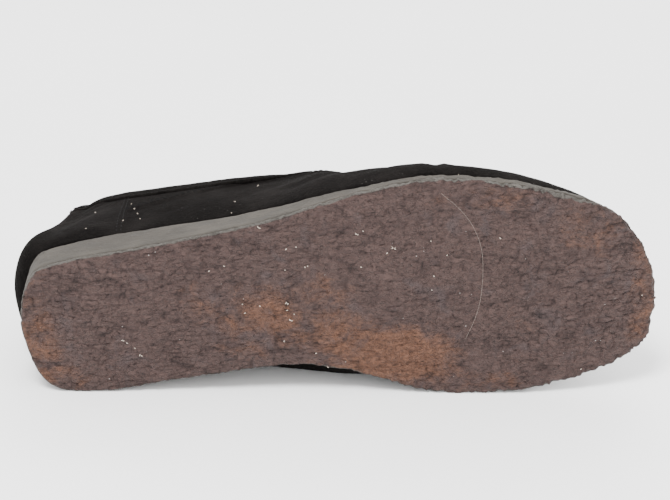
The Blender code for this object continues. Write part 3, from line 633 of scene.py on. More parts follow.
def hole_place(hole_x, inner_side):
    """Way and angle of a lace hole's middle."""
    way = way_at(hole_x, inner_side)
    return way, angle_at_level(way, facing_distance(hole_x) + HOLE_MARGIN)


UP = np.array([LIE_SLOPE, -math.sqrt(1.0 - LIE_SLOPE**2 - LIE_TILT**2), LIE_TILT])
AHEAD = unit(np.array([1.0, 0.0, 0.0]) - UP * LIE_SLOPE)
TURN = np.stack([AHEAD, np.cross(UP, AHEAD), UP])


def lay(points):
    """Standing frame to lying frame."""
    return np.asarray(points) @ TURN.T + LIE_PLACE


def lay_direction(directions):
    """Directions in the standing frame to the lying frame."""
    return np.asarray(directions) @ TURN.T


def unevenness(x, y, seed, z=None):
    """Smooth random relief between -1 and 1, the same on every run."""
    x, y = np.asarray(x, dtype=float), np.asarray(y, dtype=float)
    if z is not None:
        low = np.floor(z)
        t = ease(z - low)
        return (1 - t) * _layer(x, y, seed + 17.0 * low) + t * _layer(x, y, seed + 17.0 * (low + 1))
    return _layer(x, y, seed)


def _layer(x, y, seed):
    """One level of the relief: random values at whole numbers, eased between them."""
    cell_x, cell_y = np.floor(x), np.floor(y)

    def corner(i, j):
        value = np.sin((cell_x + i) * 127.1 + (cell_y + j) * 311.7 + seed * 74.7) * 43758.5453
        return 2.0 * (value - np.floor(value)) - 1.0

    u, v = ease(x - cell_x), ease(y - cell_y)
    near = corner(0, 0) * (1 - u) + corner(1, 0) * u
    far = corner(0, 1) * (1 - u) + corner(1, 1) * u
    return near * (1 - v) + far * v


def solid_noise(points, size, seed):
    """Random relief in space, for points in metres and a grain of the given size."""
    p = np.asarray(points) / size
    return unevenness(p[..., 0] + 0.31 * p[..., 2], p[..., 1] + 0.27 * p[..., 0], seed, p[..., 2])


class Wire:
    """A socket's output that takes part in plain arithmetic."""

    def __init__(self, finish, socket):
        self.finish = finish
        self.socket = socket

    def _math(self, operation, *values):
        return self.finish.node("ShaderNodeMath", {"operation": operation}, *values)

    def __add__(self, other):
        return self._math("ADD", self, other)

    __radd__ = __add__

    def __sub__(self, other):
        return self._math("SUBTRACT", self, other)

    def __mul__(self, other):
        return self._math("MULTIPLY", self, other)

    __rmul__ = __mul__

    def __truediv__(self, other):
        return self._math("DIVIDE", self, other)

    def __abs__(self):
        return self._math("ABSOLUTE", self)

    def wave(self):
        """Sine of the value, brought to 0 to 1."""
        return self._math("SINE", self) * 0.5 + 0.5

    def least(self, other):
        return self._math("MINIMUM", self, other)


class Finish:
    """A node-based material for one kind of surface."""

    def __init__(self, name):
        self.material = bpy.data.materials.new(name)
        self.material.use_nodes = True
        self.tree = self.material.node_tree
        self.shader = self.tree.nodes["Principled BSDF"]
        self.place = self.node("ShaderNodeTexCoord", {}, output="Object")

    def node(self, kind, settings, *values, output=0, **named):
        """A node with its settings first, then the values or links of its sockets. Gives one output."""
        made = self.tree.nodes.new(kind)
        for key, value in settings.items():
            setattr(made, key, value)
        pairs = list(enumerate(values)) + [(key.replace("_", " "), value) for key, value in named.items()]
        for key, value in pairs:
            if isinstance(value, Wire):
                self.tree.links.new(value.socket, made.inputs[key])
            elif value is not None:
                made.inputs[key].default_value = value
        return Wire(self, made.outputs[output])

    def grain(self, scale, detail=2.0, rough=0.5, stretch=(1, 1, 1), twist=0.0):
        """Noise from 0 to 1 with so many grains in a metre."""
        at = self.node("ShaderNodeMapping", {}, self.place, Scale=stretch)
        looks = {"Scale": scale, "Detail": detail, "Roughness": rough, "Distortion": twist}
        return self.node("ShaderNodeTexNoise", {}, Vector=at, **looks)

    def patches(self, low, high, *grain, **looks):
        """Soft patches where the noise is high."""
        return self.step(self.grain(*grain, **looks), low, high)

    def cells(self, scale):
        """Distance from the nearest of so many points in a metre."""
        return self.node("ShaderNodeTexVoronoi", {}, Vector=self.place, Scale=scale)

    def dots(self, scale, outer, inner):
        """Round dots, so many in a metre: 1 within the inner distance from the middle, 0 past the outer."""
        return self.step(self.cells(scale), outer, inner)

    def part(self, axis, where=None):
        """One coordinate of the place."""
        return self.node("ShaderNodeSeparateXYZ", {}, where or self.place, output=axis)

    def step(self, value, low, high, to_low=0.0, to_high=1.0):
        """Eased step of a value between two levels."""
        soft = {"interpolation_type": "SMOOTHSTEP"}
        return self.node("ShaderNodeMapRange", soft, value, low, high, to_low, to_high)

    def spot(self, x, z, wide, high):
        """1 inside an ellipse on the tread, with a soft rim."""
        across = (self.part("X") - x) / wide
        up = (self.part("Z") - z) / high
        return self.step(across * across + up * up, 1.5, 0.15)

    def blend(self, factor, first, second):
        """Mix of two colours."""
        made = self.tree.nodes.new("ShaderNodeMix")
        made.data_type = "RGBA"
        for index, value in ((0, factor), (6, first), (7, second)):
            if isinstance(value, Wire):
                self.tree.links.new(value.socket, made.inputs[index])
            elif isinstance(value, tuple):
                made.inputs[index].default_value = (*value, 1.0)
            else:
                made.inputs[index].default_value = value
        return Wire(self, made.outputs[2])

    def bump(self, height, distance, strength=1.0, under=None):
        """Fine relief as a normal, on top of another."""
        looks = {"Height": height, "Distance": distance, "Strength": strength}
        return self.node("ShaderNodeBump", {}, Normal=under, **looks)

    def shade(self, **values):
        """Sets the shader's sockets, by name, to values or links."""
        for key, value in values.items():
            socket = self.shader.inputs[key.replace("_", " ")]
            if isinstance(value, Wire):
                self.tree.links.new(value.socket, socket)
            elif isinstance(value, tuple) and len(value) == 3 and len(socket.default_value) == 4:
                socket.default_value = (*value, 1.0)
            else:
                socket.default_value = value
        return self.material


def suede(name, dark, nap, dust=0.35):
    """Brushed suede: short nap, lighter where it is rubbed, with fine dust in it."""
    f = Finish(name)
    fibre = f.grain(2600.0, 4.0, 0.7)
    tuft = f.grain(620.0, 3.0, 0.6, twist=0.4)
    rubbed = f.patches(0.42, 0.72, 46.0, 3.0, 0.6)
    broad = f.grain(14.0, 2.0, 0.5)
    colour = f.blend(f.step(tuft * 0.6 + fibre * 0.4, 0.35, 0.68), dark, nap)
    colour = f.blend(rubbed * 0.45, colour, tuple(1.7 * v for v in nap))
    colour = f.blend(f.step(broad, 0.4, 0.7) * 0.4, colour, dark)
    specks = f.dots(420.0, 0.10, 0.05) * f.patches(0.52, 0.66, 30.0, 2.0)
    colour = f.blend(specks * dust, colour, (0.32, 0.30, 0.28))
    relief = f.bump(tuft + fibre * 0.5, 0.0009, 0.9)
    relief = f.bump(f.grain(120.0, 3.0, 0.6), 0.0010, 0.6, relief)
    return f.shade(
        Base_Color=colour,
        Roughness=f.step(tuft, 0.3, 0.7, 0.82, 0.97),
        Normal=relief,
        Sheen_Weight=0.018,
        Sheen_Roughness=0.30,
        Sheen_Tint=(0.60, 0.54, 0.50),
        Specular_IOR_Level=0.02,
    )


def tread_crepe():
    """Worn crepe of the tread: wrinkled purple brown, painted shade in creases and pits, orange where
    rubbed, grey on the trimmed rim.
    """
    f = Finish("brown_crepe_tread")
    relief = f.node("ShaderNodeAttribute", {"attribute_name": "relief"}, output="Fac")
    rim = f.node("ShaderNodeAttribute", {"attribute_name": "rim"}, output="Fac")
    wrinkle = f.grain(430.0, 3.0, 0.55, stretch=(0.62, 1.0, 1.0), twist=0.5)
    crumb = f.grain(900.0, 3.0, 0.55, stretch=(0.66, 1.0, 1.0), twist=0.3)
    blotch = f.grain(120.0, 5.0, 0.66, stretch=(0.72, 1.0, 1.0), twist=0.5)
    broad = f.grain(30.0, 3.0, 0.55)
    vein = abs(wrinkle - 0.5) * 2.0
    # Mask of the bump's crease lines and of the relief's pits, used only for painted shade that darkens
    # them
    crease = f.step(vein, 0.055, 0.0) * f.step(blotch, 0.36, 0.56) + f.step(relief, 0.42, 0.10)
    edge_of_rim = f.step(rim, 0.45, 0.60)
    # Random grain plus the mesh relief: the pits come out darker and the lump tops lighter, painted shade
    # in the pits
    tone_and_pit_shade = wrinkle * 0.40 + crumb * 0.22 + relief * 0.38
    worn = 0.0
    for x, z, wide, high, much in WORN_PLACES:
        worn = f.spot(x, z, wide, high) * much + worn
    worn = f.step(worn * 0.85 + (blotch - 0.5) * 1.9 + (broad - 0.5) * 1.0 + (crumb - 0.5) * 0.4, 0.24, 1.1)
    # Share of the lighter colour, which carries that painted pit shade into the base, the orange and the
    # trimmed rim
    light = f.step(tone_and_pit_shade, 0.34, 0.66)
    colour = f.blend(light, (0.024, 0.0138, 0.0126), (0.051, 0.0288, 0.0246))
    colour = f.blend(worn * 0.66, colour, f.blend(light, (0.062, 0.0262, 0.0130), (0.128, 0.0530, 0.0255)))
    grey = f.patches(0.54, 0.70, 75.0, 4.0, 0.62, twist=0.5)
    colour = f.blend(grey * 0.30, colour, (0.044, 0.037, 0.041))
    colour = f.blend(f.step(blotch, 0.46, 0.30) * 0.40, colour, (0.024, 0.0140, 0.0140))
    # Painted shade: the creases and pits go near black
    colour = f.blend(crease.least(1.0) * 0.55, colour, (0.009, 0.0058, 0.0058))
    dusty = f.patches(0.56, 0.68, 60.0, 3.0)
    specks = f.dots(300.0, 0.095, 0.045) * dusty
    colour = f.blend(specks * 0.75, colour, (0.74, 0.70, 0.66))
    dark_line = f.step(abs(rim - 0.42), 0.20, 0.05) * f.step(blotch, 0.40, 0.58)
    behind_toe = f.step(f.part("X"), TOE_RIM_END, TOE_RIM_START)
    trimmed = f.blend(light, (0.040, 0.0355, 0.0305), (0.072, 0.0645, 0.0560))
    colour = f.blend(edge_of_rim * behind_toe, colour, trimmed)
    colour = f.blend(dark_line * 0.7, colour, (0.014, 0.0100, 0.0092))
    bump = f.bump(vein.least(0.30), 0.0026, 1.0)
    bump = f.bump(crumb, 0.0014, 0.8, bump)
    return f.shade(
        Base_Color=colour,
        Roughness=f.step(tone_and_pit_shade, 0.35, 0.65, 0.92, 0.66),
        Normal=bump,
        Specular_IOR_Level=0.28,
    )


def side_crepe():
    """Grey crepe of the sole's side: trimmed smooth, with fine streaks, dark specks and smudges."""
    f = Finish("grey_crepe_side")
    streak = f.grain(260.0, 4.0, 0.6, stretch=(0.16, 1.0, 1.0))
    grit = f.grain(900.0, 4.0, 0.65)
    smudge = f.patches(0.40, 0.72, 36.0, 3.0, 0.6, stretch=(0.5, 1.0, 1.0))
    colour = f.blend(f.step(streak, 0.35, 0.68), (0.039, 0.0345, 0.0288), (0.064, 0.0570, 0.0480))
    colour = f.blend(smudge * 0.45, colour, (0.029, 0.0250, 0.0215))
    colour = f.blend(f.step(grit, 0.56, 0.72) * 0.30, colour, (0.098, 0.089, 0.079))
    rust = f.patches(0.60, 0.74, 42.0, 3.0, 0.6, stretch=(0.5, 1.0, 1.0))
    colour = f.blend(rust * 0.40, colour, (0.046, 0.0260, 0.0180))
    dark = f.dots(210.0, 0.14, 0.07) * f.patches(0.50, 0.62, 50.0, 2.0)
    colour = f.blend(dark * 0.8, colour, (0.016, 0.0125, 0.0115))
    colour = f.blend(f.step(f.part("X"), TOE_RIM_START, TOE_RIM_END), colour, (0.030, 0.0180, 0.0160))
    relief = f.bump(grit, 0.0009, 0.9)
    relief = f.bump(streak, 0.0014, 0.6, relief)
    return f.shade(
        Base_Color=colour,
        Roughness=f.step(streak, 0.3, 0.7, 0.72, 0.90),
        Normal=relief,
        Specular_IOR_Level=0.3,
    )


def woven(name, dark, light):
    """Flat woven lace: a fine herringbone that follows the lace."""
    f = Finish(name)
    at = f.node("ShaderNodeTexCoord", {}, output="UV")
    across, along = f.part("X", at), f.part("Y", at)
    chevron = abs(across - 0.5) * 14.0
    weft = (along * 8200.0 + chevron * 3.0).wave()
    warp = (across * 62.0).wave()
    fuzz = f.grain(2300.0, 3.0, 0.7)
    thread = weft * 0.6 + warp * 0.4
    worn = f.patches(0.42, 0.68, 190.0, 3.0)
    colour = f.blend(f.step(thread * 0.75 + fuzz * 0.25, 0.22, 0.72), dark, light)
    colour = f.blend(worn * 0.35, colour, tuple(1.6 * v for v in light))
    relief = f.bump(thread, 0.00028, 0.9)
    relief = f.bump(fuzz, 0.00015, 0.6, relief)
    return f.shade(
        Base_Color=colour,
        Roughness=f.step(thread, 0.2, 0.8, 0.92, 0.76),
        Normal=relief,
        Sheen_Weight=0.03,
        Sheen_Roughness=0.5,
        Specular_IOR_Level=0.10,
    )


def thread_finish(name, dark, light):
    """Waxed twisted thread."""
    f = Finish(name)
    twist = f.grain(2400.0, 3.0, 0.6, stretch=(0.5, 1.0, 1.0))
    colour = f.blend(f.step(twist, 0.35, 0.65), dark, light)
    return f.shade(
        Base_Color=colour,
        Roughness=f.step(twist, 0.3, 0.7, 0.70, 0.9),
        Normal=f.bump(twist, 0.0002, 0.7),
        Specular_IOR_Level=0.12,
    )


def lining():
    """Thin smooth lining leather, dark, creased and a little polished by wear."""
    f = Finish("lining_leather")
    crease = f.grain(160.0, 4.0, 0.6, stretch=(1.0, 1.0, 0.5), twist=0.6)
    rubbed = f.patches(0.42, 0.70, 24.0, 3.0, 0.55)
    colour = f.blend(f.step(crease, 0.35, 0.7), (0.014, 0.0125, 0.0120), (0.040, 0.0350, 0.0320))
    colour = f.blend(rubbed * 0.5, colour, (0.070, 0.0600, 0.0540))
    relief = f.bump(f.step(f.cells(1500.0), 0.1, 0.5), 0.00012, 0.6)
    relief = f.bump(crease, 0.0006, 0.6, relief)
    return f.shade(Base_Color=colour, Roughness=f.step(rubbed, 0.0, 1.0, 0.62, 0.44), Normal=relief)


def clear_sheath():
    """Clear plastic film rolled round the lace's end, finely scratched."""
    f = Finish("clear_sheath")
    scratch = f.grain(700.0, 3.0, 0.6, stretch=(1.0, 1.0, 0.3))
    return f.shade(
        Base_Color=f.blend(f.step(scratch, 0.4, 0.7), (0.86, 0.86, 0.85), (0.98, 0.98, 0.97)),
        Roughness=f.step(scratch, 0.4, 0.7, 0.10, 0.28),
        Normal=f.bump(scratch, 0.0001, 0.3),
        IOR=1.47,
        Transmission_Weight=0.92,
    )


def lint(name, colour):
    """Pale fluff or hair."""
    f = Finish(name)
    fuzz = f.grain(3000.0, 2.0)
    shade = f.blend(f.step(fuzz, 0.3, 0.7), tuple(0.72 * v for v in colour), colour)
    relief = f.bump(fuzz, 0.0001, 0.4)
    return f.shade(Base_Color=shade, Roughness=f.step(fuzz, 0.3, 0.7, 0.7, 0.95), Normal=relief)


def floor_finish():
    """Plain pale floor."""
    f = Finish("pale_floor")
    mottle = f.grain(6.0, 2.0)
    colour = f.blend(f.step(mottle, 0.3, 0.7), (0.94, 0.94, 0.94), (0.96, 0.96, 0.96))
    rough = f.step(mottle, 0.3, 0.7, 0.75, 0.85)
    return f.shade(Base_Color=colour, Roughness=rough, Specular_IOR_Level=0.2)


SUEDE = suede("black_suede", (0.0020, 0.0017, 0.0016), (0.0080, 0.0070, 0.0066))
SUEDE_TRIM = suede("black_suede_trim", (0.0022, 0.0019, 0.0018), (0.0090, 0.0080, 0.0075), 0.3)
LINING = lining()
TREAD = tread_crepe()
SIDE = side_crepe()
LACE = woven("woven_lace", (0.0036, 0.0031, 0.0029), (0.0150, 0.0130, 0.0120))
THREAD = thread_finish("seam_thread", (0.0015, 0.0013, 0.0013), (0.0060, 0.0054, 0.0052))
APRON_THREAD = thread_finish("apron_thread", (0.0030, 0.0027, 0.0026), (0.013, 0.0115, 0.0110))
SHEATH = clear_sheath()
PALE_LINT = lint("pale_lint", (0.66, 0.57, 0.48))
HAIR = lint("pale_hair", (0.28, 0.23, 0.20))


def put(name, data):
    """A new object in the scene."""
    thing = bpy.data.objects.new(name, data)
    bpy.context.collection.objects.link(thing)
    return thing


def mesh_object(name, points, faces, material, *, lying=False, inside=None, uv=None, marks=None, weld=2e-6):
    """A smooth mesh from points in the standing frame, merged, with its faces pointing out."""
    # nothing reaches under the floor
    where = np.array(points) if lying else lay(points)
    where[:, 2] = np.maximum(where[:, 2], 0.0)
    mesh = bpy.data.meshes.new(name)
    mesh.from_pydata(where.tolist(), [], [list(map(int, face)) for face in faces])
    mesh.materials.append(material)
    if inside is not None:
        mesh.materials.append(inside[0])
        mesh.polygons.foreach_set("material_index", inside[1])
    if uv is not None:
        layer = mesh.uv_layers.new(name="UVMap")
        corners = np.empty(len(mesh.loops), dtype=int)
        mesh.loops.foreach_get("vertex_index", corners)
        layer.data.foreach_set("uv", np.asarray(uv)[corners].ravel())
    for label, values in (marks or {}).items():
        attribute = mesh.attributes.new(label, "FLOAT", "POINT")
        attribute.data.foreach_set("value", np.asarray(values, dtype=float))
    work = bmesh.new()
    work.from_mesh(mesh)
    if weld:
        bmesh.ops.remove_doubles(work, verts=work.verts, dist=weld)
    bmesh.ops.dissolve_degenerate(work, edges=work.edges, dist=1e-7)
    bmesh.ops.recalc_face_normals(work, faces=work.faces)
    if work.calc_volume(signed=True) < 0:
        bmesh.ops.reverse_faces(work, faces=work.faces)
    work.to_mesh(mesh)
    work.free()
    mesh.shade_smooth()
    return put(name, mesh)


def grid_faces(rows, columns, closed, start=0, flip=False):
    """Quads of a grid of points stored row by row, closed along its rows where asked."""
    i, j = np.meshgrid(np.arange(rows - 1), np.arange(columns if closed else columns - 1), indexing="ij")
    k = (j + 1) % columns
    row, above = i * columns, (i + 1) * columns
    faces = np.stack([row + j, row + k, above + k, above + j], axis=-1).reshape(-1, 4) + start
    return faces[:, ::-1] if flip else faces


def rod_faces(count, sides):
    """Faces of rings round a rod, with a flat face at each end."""
    ends = [list(range(sides))[::-1], [(count - 1) * sides + k for k in range(sides)]]
    return grid_faces(count, sides, True).tolist() + ends


def ring_faces(first, second, sides):
    """Faces between two rings, by the numbers of their first points."""
    pairs = [(k, (k + 1) % sides) for k in range(sides)]
    return [[first + k, first + n, second + n, second + k] for k, n in pairs]


def finish_piece(thing, slot, *nodes):
    """The piece rides on the shoe and stands for its CAD nodes, which it hides. slot is not used."""
    if nodes:
        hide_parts(*nodes)
    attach(thing, "root")
    return thing


# Camera
side_axis = np.array([1.0, 0.0, 0.0])
up_axis = np.array([0.0, -math.cos(VIEW_ANGLE), math.sin(VIEW_ANGLE)])
view_ahead = np.array([0.0, math.sin(VIEW_ANGLE), math.cos(VIEW_ANGLE)])
view_right = side_axis * math.cos(VIEW_ROLL) + up_axis * math.sin(VIEW_ROLL)
view_up = up_axis * math.cos(VIEW_ROLL) - side_axis * math.sin(VIEW_ROLL)
view_from = VIEW_CENTRE - view_ahead * VIEW_DISTANCE

camera_data = bpy.data.cameras.new("camera")
camera_data.sensor_width = SENSOR_WIDTH
camera_data.lens = SENSOR_WIDTH * VIEW_FOCUS / PHOTO_WIDTH
camera_data.clip_start = CLIP_START
camera = put("camera", camera_data)
turned = np.stack([lay_direction(view_right), lay_direction(view_up), lay_direction(-view_ahead)], axis=1)
camera.matrix_world = Matrix.Translation(Vector(lay(view_from))) @ Matrix(turned.tolist()).to_4x4()
bpy.context.scene.camera = camera


def on_tread(across, down, height=0.0):
    """The place on the tread that the camera sees at a place in its frame."""
    ray = view_ahead * VIEW_FOCUS
    ray = ray + view_right * (across - PHOTO_WIDTH / 2) - view_up * (down - PHOTO_HEIGHT / 2)
    place = view_from + ray * (height - view_from[2]) / ray[2]
    for _ in range(3):
        place = view_from + ray * (float(tread_height(place[0])) + height - view_from[2]) / ray[2]
    return place


def in_view(points):
    """Where the camera sees points: across and down in its frame, and their depth."""
    away = np.asarray(points) - view_from
    depth = away @ view_ahead
    across = PHOTO_WIDTH / 2 + VIEW_FOCUS * (away @ view_right) / depth
    return across, PHOTO_HEIGHT / 2 - VIEW_FOCUS * (away @ view_up) / depth, depth


def on_suede(across, down):
    """The place on the outer side's suede that the camera sees there, with its outward direction."""
    way, share = np.meshgrid(np.linspace(0.0, 0.9, 700), np.linspace(0.02, 0.98, 160))
    angle = share * opening_angle(way)
    points = form_point(way, angle)
    seen = in_view(points)
    off = np.hypot(seen[0] - across, seen[1] - down) + 4.0 * (seen[2] - seen[2].min())
    best = np.unravel_index(int(off.argmin()), off.shape)
    return points[best], form_normal(way[best], angle[best])


# Laces
def ribbon_rings(path, normals, widths, thickness, closed=False):
    """Cross-sections of a flat lace along a path, with thicker rolled edges. Gives points and lace UV."""
    path, normals = np.asarray(path), np.asarray(normals)
    ahead = np.roll(path, -1, axis=0) - np.roll(path, 1, axis=0)
    if not closed:
        ahead[0], ahead[-1] = path[1] - path[0], path[-1] - path[-2]
    ahead = unit(ahead)
    normals = unit(normals - ahead * np.sum(normals * ahead, axis=1, keepdims=True))
    across = np.cross(ahead, normals)
    sides = RIBBON_SIDES
    turn = full_turn(sides)
    flat = np.sign(np.cos(turn)) * np.abs(np.cos(turn)) ** 0.75
    lift = np.sin(turn) * (0.80 + 0.20 * np.abs(np.cos(turn)) ** 2 * 2.0)
    widths = np.broadcast_to(widths, len(path))
    points = (
        path[:, None, :]
        + across[:, None, :] * (flat[None, :, None] * widths[:, None, None] / 2)
        + normals[:, None, :] * (lift[None, :, None] * thickness / 2)
    )
    run = np.concatenate([[0.0], np.cumsum(np.linalg.norm(np.diff(path, axis=0), axis=1))])
    across_uv = np.broadcast_to(0.5 + 0.5 * flat, (len(path), sides))
    uv = np.stack([across_uv, np.repeat(run[:, None], sides, 1)], axis=-1)
    return points.reshape(-1, 3), uv.reshape(-1, 2)


def ribbon(name, path, normals, widths=LACE_WIDTH, thickness=RIBBON_THICKNESS, lying=True):
    """A woven flat lace along a path."""
    points, uv = ribbon_rings(path, normals, widths, thickness)
    return mesh_object(name, points, rod_faces(len(path), RIBBON_SIDES), LACE, lying=lying, uv=uv, weld=0.0)


knot_way = way_at(KNOT_PLACE, False)
knot_lift = 1.5 * GAP + LACE_THICKNESS + SOFT_GAP + KNOT_HEIGHT / 2
knot_middle = skin(knot_way, CREST_ANGLE, knot_lift)
knot_place = lay(knot_middle)


def bow_loop(name, route, node):
    """One loop of the bow, its flat side turned away from the loop's middle."""
    path = lay(knot_middle + open_curve(route, 8))
    centre = path.mean(axis=0)
    thing = finish_piece(ribbon(name, path, path - centre), "lace", node)


def knot_wraps():
    """The knot: laces wrapped over each other round a small core."""
    up = form_normal(knot_way, CREST_ANGLE)
    ahead = unit(np.cross([0.0, 1.0, 0.0], up))
    inwards = np.cross(up, ahead)
    turn = full_turn(WRAP_ROWS)[:, None]
    last = (WRAP_ROWS - 1) * RIBBON_SIDES
    vertices, uvs, faces = [], [], []
    for k, (spin, lean, long, high, shift, wide) in enumerate(KNOT_WRAPS):
        run = ahead * math.cos(spin) + inwards * math.sin(spin)
        side = np.cross(up, run)
        rise = up * math.cos(lean) + side * math.sin(lean)
        side = np.cross(rise, run)
        out = run * np.cos(turn) * KNOT_LENGTH / 2 * long + rise * np.sin(turn) * KNOT_HEIGHT / 2 * high
        path = knot_middle + side * shift + out
        width = LACE_WIDTH * wide * (0.86 + 0.14 * np.cos(2 * turn[:, 0]))
        points, uv = ribbon_rings(path, out, width, LACE_THICKNESS, closed=True)
        start = k * len(points)
        faces += grid_faces(WRAP_ROWS, RIBBON_SIDES, True, start).tolist()
        faces += ring_faces(start + last, start, RIBBON_SIDES)
        vertices.append(points)
        uvs.append(uv)
    thing = mesh_object("knot_wraps", np.vstack(vertices), faces, LACE, uv=np.vstack(uvs), weld=0.0)
    return finish_piece(thing, "lace", "lace_knot")


def tube(name, path, radius, material, inner=None, sides=24, lying=True):
    """A round tube or rod along a path."""
    path = np.asarray(path)
    ahead = unit(np.gradient(path, axis=0))
    reference = np.array([0.0, 0.0, 1.0]) if abs(ahead[0][2]) < 0.9 else np.array([0.0, 1.0, 0.0])
    side = unit(np.cross(ahead, reference))
    up = np.cross(side, ahead)
    turn = full_turn(sides)
    radius = np.broadcast_to(radius, len(path))
    shell = side[:, None] * np.cos(turn)[None, :, None] + up[:, None] * np.sin(turn)[None, :, None]
    points = (path[:, None] + shell * radius[:, None, None]).reshape(-1, 3)
    count = len(path)
    if inner is None:
        faces = rod_faces(count, sides)
    else:
        start = len(points)
        points = np.vstack([points, (path[:, None] + shell * inner).reshape(-1, 3)])
        faces = grid_faces(count, sides, True).tolist()
        faces += grid_faces(count, sides, True, start, flip=True).tolist()
        for first in (0, (count - 1) * sides):
            faces += ring_faces(first, start + first, sides)
    return mesh_object(name, points, faces, material, lying=lying, weld=0.0)


def free_end(name, route, nodes, sheath_name):
    """A free end that hangs from the knot to the floor, with its clear sheath."""
    drop = knot_place[2] - KNOT_WIDTH / 2 - GAP - LACE_THICKNESS
    rows = open_curve(route, 8)
    height = LACE_THICKNESS / 2 + drop * np.maximum(0.0, rows[:, 2])
    path = np.column_stack([knot_place[:2] + rows[:, :2], height])
    share = np.clip(rows[:, 2], 0.0, 1.0)
    normals = np.stack([np.zeros_like(share), share, 1.0 - share], axis=1)
    widths = LACE_WIDTH * (1.0 - 0.35 * ease((np.arange(len(path)) - len(path) + 7) / 6.0))
    thing = ribbon(name, path, normals, widths)
    level = path[-1] - path[-9]
    level[2] = 0.0
    level = unit(level)
    start = np.array([path[-1][0], path[-1][1], AGLET_DIAMETER / 2])
    steps = np.array([0.0, 0.04, 0.5, 0.96, 1.0])[:, None]
    wide = AGLET_DIAMETER / 2 * np.array([0.93, 1.0, 0.97, 1.0, 0.94])
    sheath_path = start + level * (GAP + AGLET_LENGTH * steps)
    sheath = tube(sheath_name, sheath_path, wide, SHEATH, AGLET_DIAMETER * 0.40)
    inside = np.linspace(-0.02, 0.97, CORE_ROWS)[:, None]
    core_path = start + level * (AGLET_LENGTH * inside)
    core_path[0] = 0.5 * (core_path[0] + path[-1])
    upwards = np.tile([0.0, 0.0, 1.0], (CORE_ROWS, 1))
    core = ribbon(sheath_name + "_core", core_path, upwards, AGLET_DIAMETER * 0.66, AGLET_DIAMETER * 0.42)
    finish_piece(thing, "lace", nodes[0])
    finish_piece(sheath, "clear_sheath", nodes[1])
    finish_piece(core, "lace")


def lace_run(name, hole_x, middle_x, node):
    """A lace over the throat between two holes, its ends turned into them."""
    lift = GAP * 1.5 + LACE_THICKNESS / 2
    narrow = HOLE_LACE_SHARE * HOLE_DIAMETER
    halves = []
    for inner_side in (False, True):
        first, end = hole_place(hole_x, inner_side)
        t = np.linspace(0.0, 1.0, 21)
        x = hole_x + (middle_x - hole_x) * ease(t)
        way = way_at(x, inner_side)
        angle = end + (CREST_ANGLE - end) * t
        path = skin(way, angle, lift)
        normals = form_normal(way, angle)
        widths = narrow + (LACE_WIDTH - narrow) * ease(t * 3)
        tip = skin(first, end - 0.012, -WALL * 0.7)
        outwards = form_normal(first, end) + 3.0 * np.array([0.0, 1.0 if inner_side else -1.0, 0.0])
        bend = 0.5 * (tip + path[0]) + 0.25 * (path[0] - path[2])
        path = np.vstack([tip, bend, path])
        normals = np.vstack([outwards, 0.5 * (outwards + normals[0]), normals])
        widths = np.concatenate([[narrow, narrow], widths])
        halves.append((path, normals, widths))
    path, normals, widths = (np.concatenate([a, b[-2::-1]]) for a, b in zip(*halves))
    return finish_piece(ribbon(name, path, normals, widths, lying=False), "lace", node)


wraps = knot_wraps()
bow_loop("big_loop", BIG_LOOP, "lace_loop_big")
bow_loop("small_loop", SMALL_LOOP, "lace_loop_small")
free_end("lace_end_towards_heel", END_TO_HEEL, ("lace_end_heel", "aglet_heel"), "sheath_towards_heel")
free_end("lace_end_towards_toe", END_TO_TOE, ("lace_end_toe", "aglet_toe"), "sheath_towards_toe")
lace_run("lower_lace_bar", LOWER_HOLES, LOWER_HOLES, "lace_bar")
lace_run("upper_lace_run", UPPER_HOLES, KNOT_PLACE - 0.002, "lace_crossing")


# Sole
def even_ways(count):
    """Ways round the shoe, the same x on both sides, closer at heel and toe."""
    s = np.linspace(0.0, 1.0, count + 1)
    half = s - END_CROWDING * np.sin(2.0 * math.pi * s) / (2.0 * math.pi)
    return np.concatenate([half, 2.0 - half[-2:0:-1]])


def creased(noise):
    """Round lumps with thin creases between them, where the noise changes sign."""
    return np.clip(3.2 * np.abs(noise), 0.0, 1.0) ** 0.6


def crumb_relief(x, y):
    """Relief of worn crepe, from pits at -1 to tops at 1: round lumps, long along the shoe, and creases."""
    broad = creased(unevenness(x / 0.0044, y / 0.0029, 3.0))
    small = creased(unevenness(x / 0.0029 + 0.35 * y / 0.0029, y / 0.0023, 8.0))
    lumps = unevenness(x / 0.0085, y / 0.0060, 12.0)
    return 0.80 * broad + 0.70 * small + 0.30 * lumps - 0.85


def ragged(way, height=0.0):
    """How far the crepe's trimmed edge is torn out or in."""
    x = edge(way)[..., 0]
    front = 0.35 + 0.65 * ease((x / LENGTH - 0.35) / 0.4)
    run = round_run(way)
    beads = 1.0 - 2.2 * np.abs(unevenness(run / 0.0026, height / 0.004, 31.0))
    torn = sum(depth * unevenness(run / long, height / high, seed) for depth, long, high, seed in TEARS)
    return front * (BEAD_DEPTH * beads + torn)


def over_tread(points, height):
    """Points at a height over the tread."""
    return np.column_stack([points, tread_height(points[:, 0]) + height])


def over_sole(points, height=0.0):
    """Points at a height over the wedge's top."""
    return np.column_stack([points, sole_top(points[:, 0]) + height])


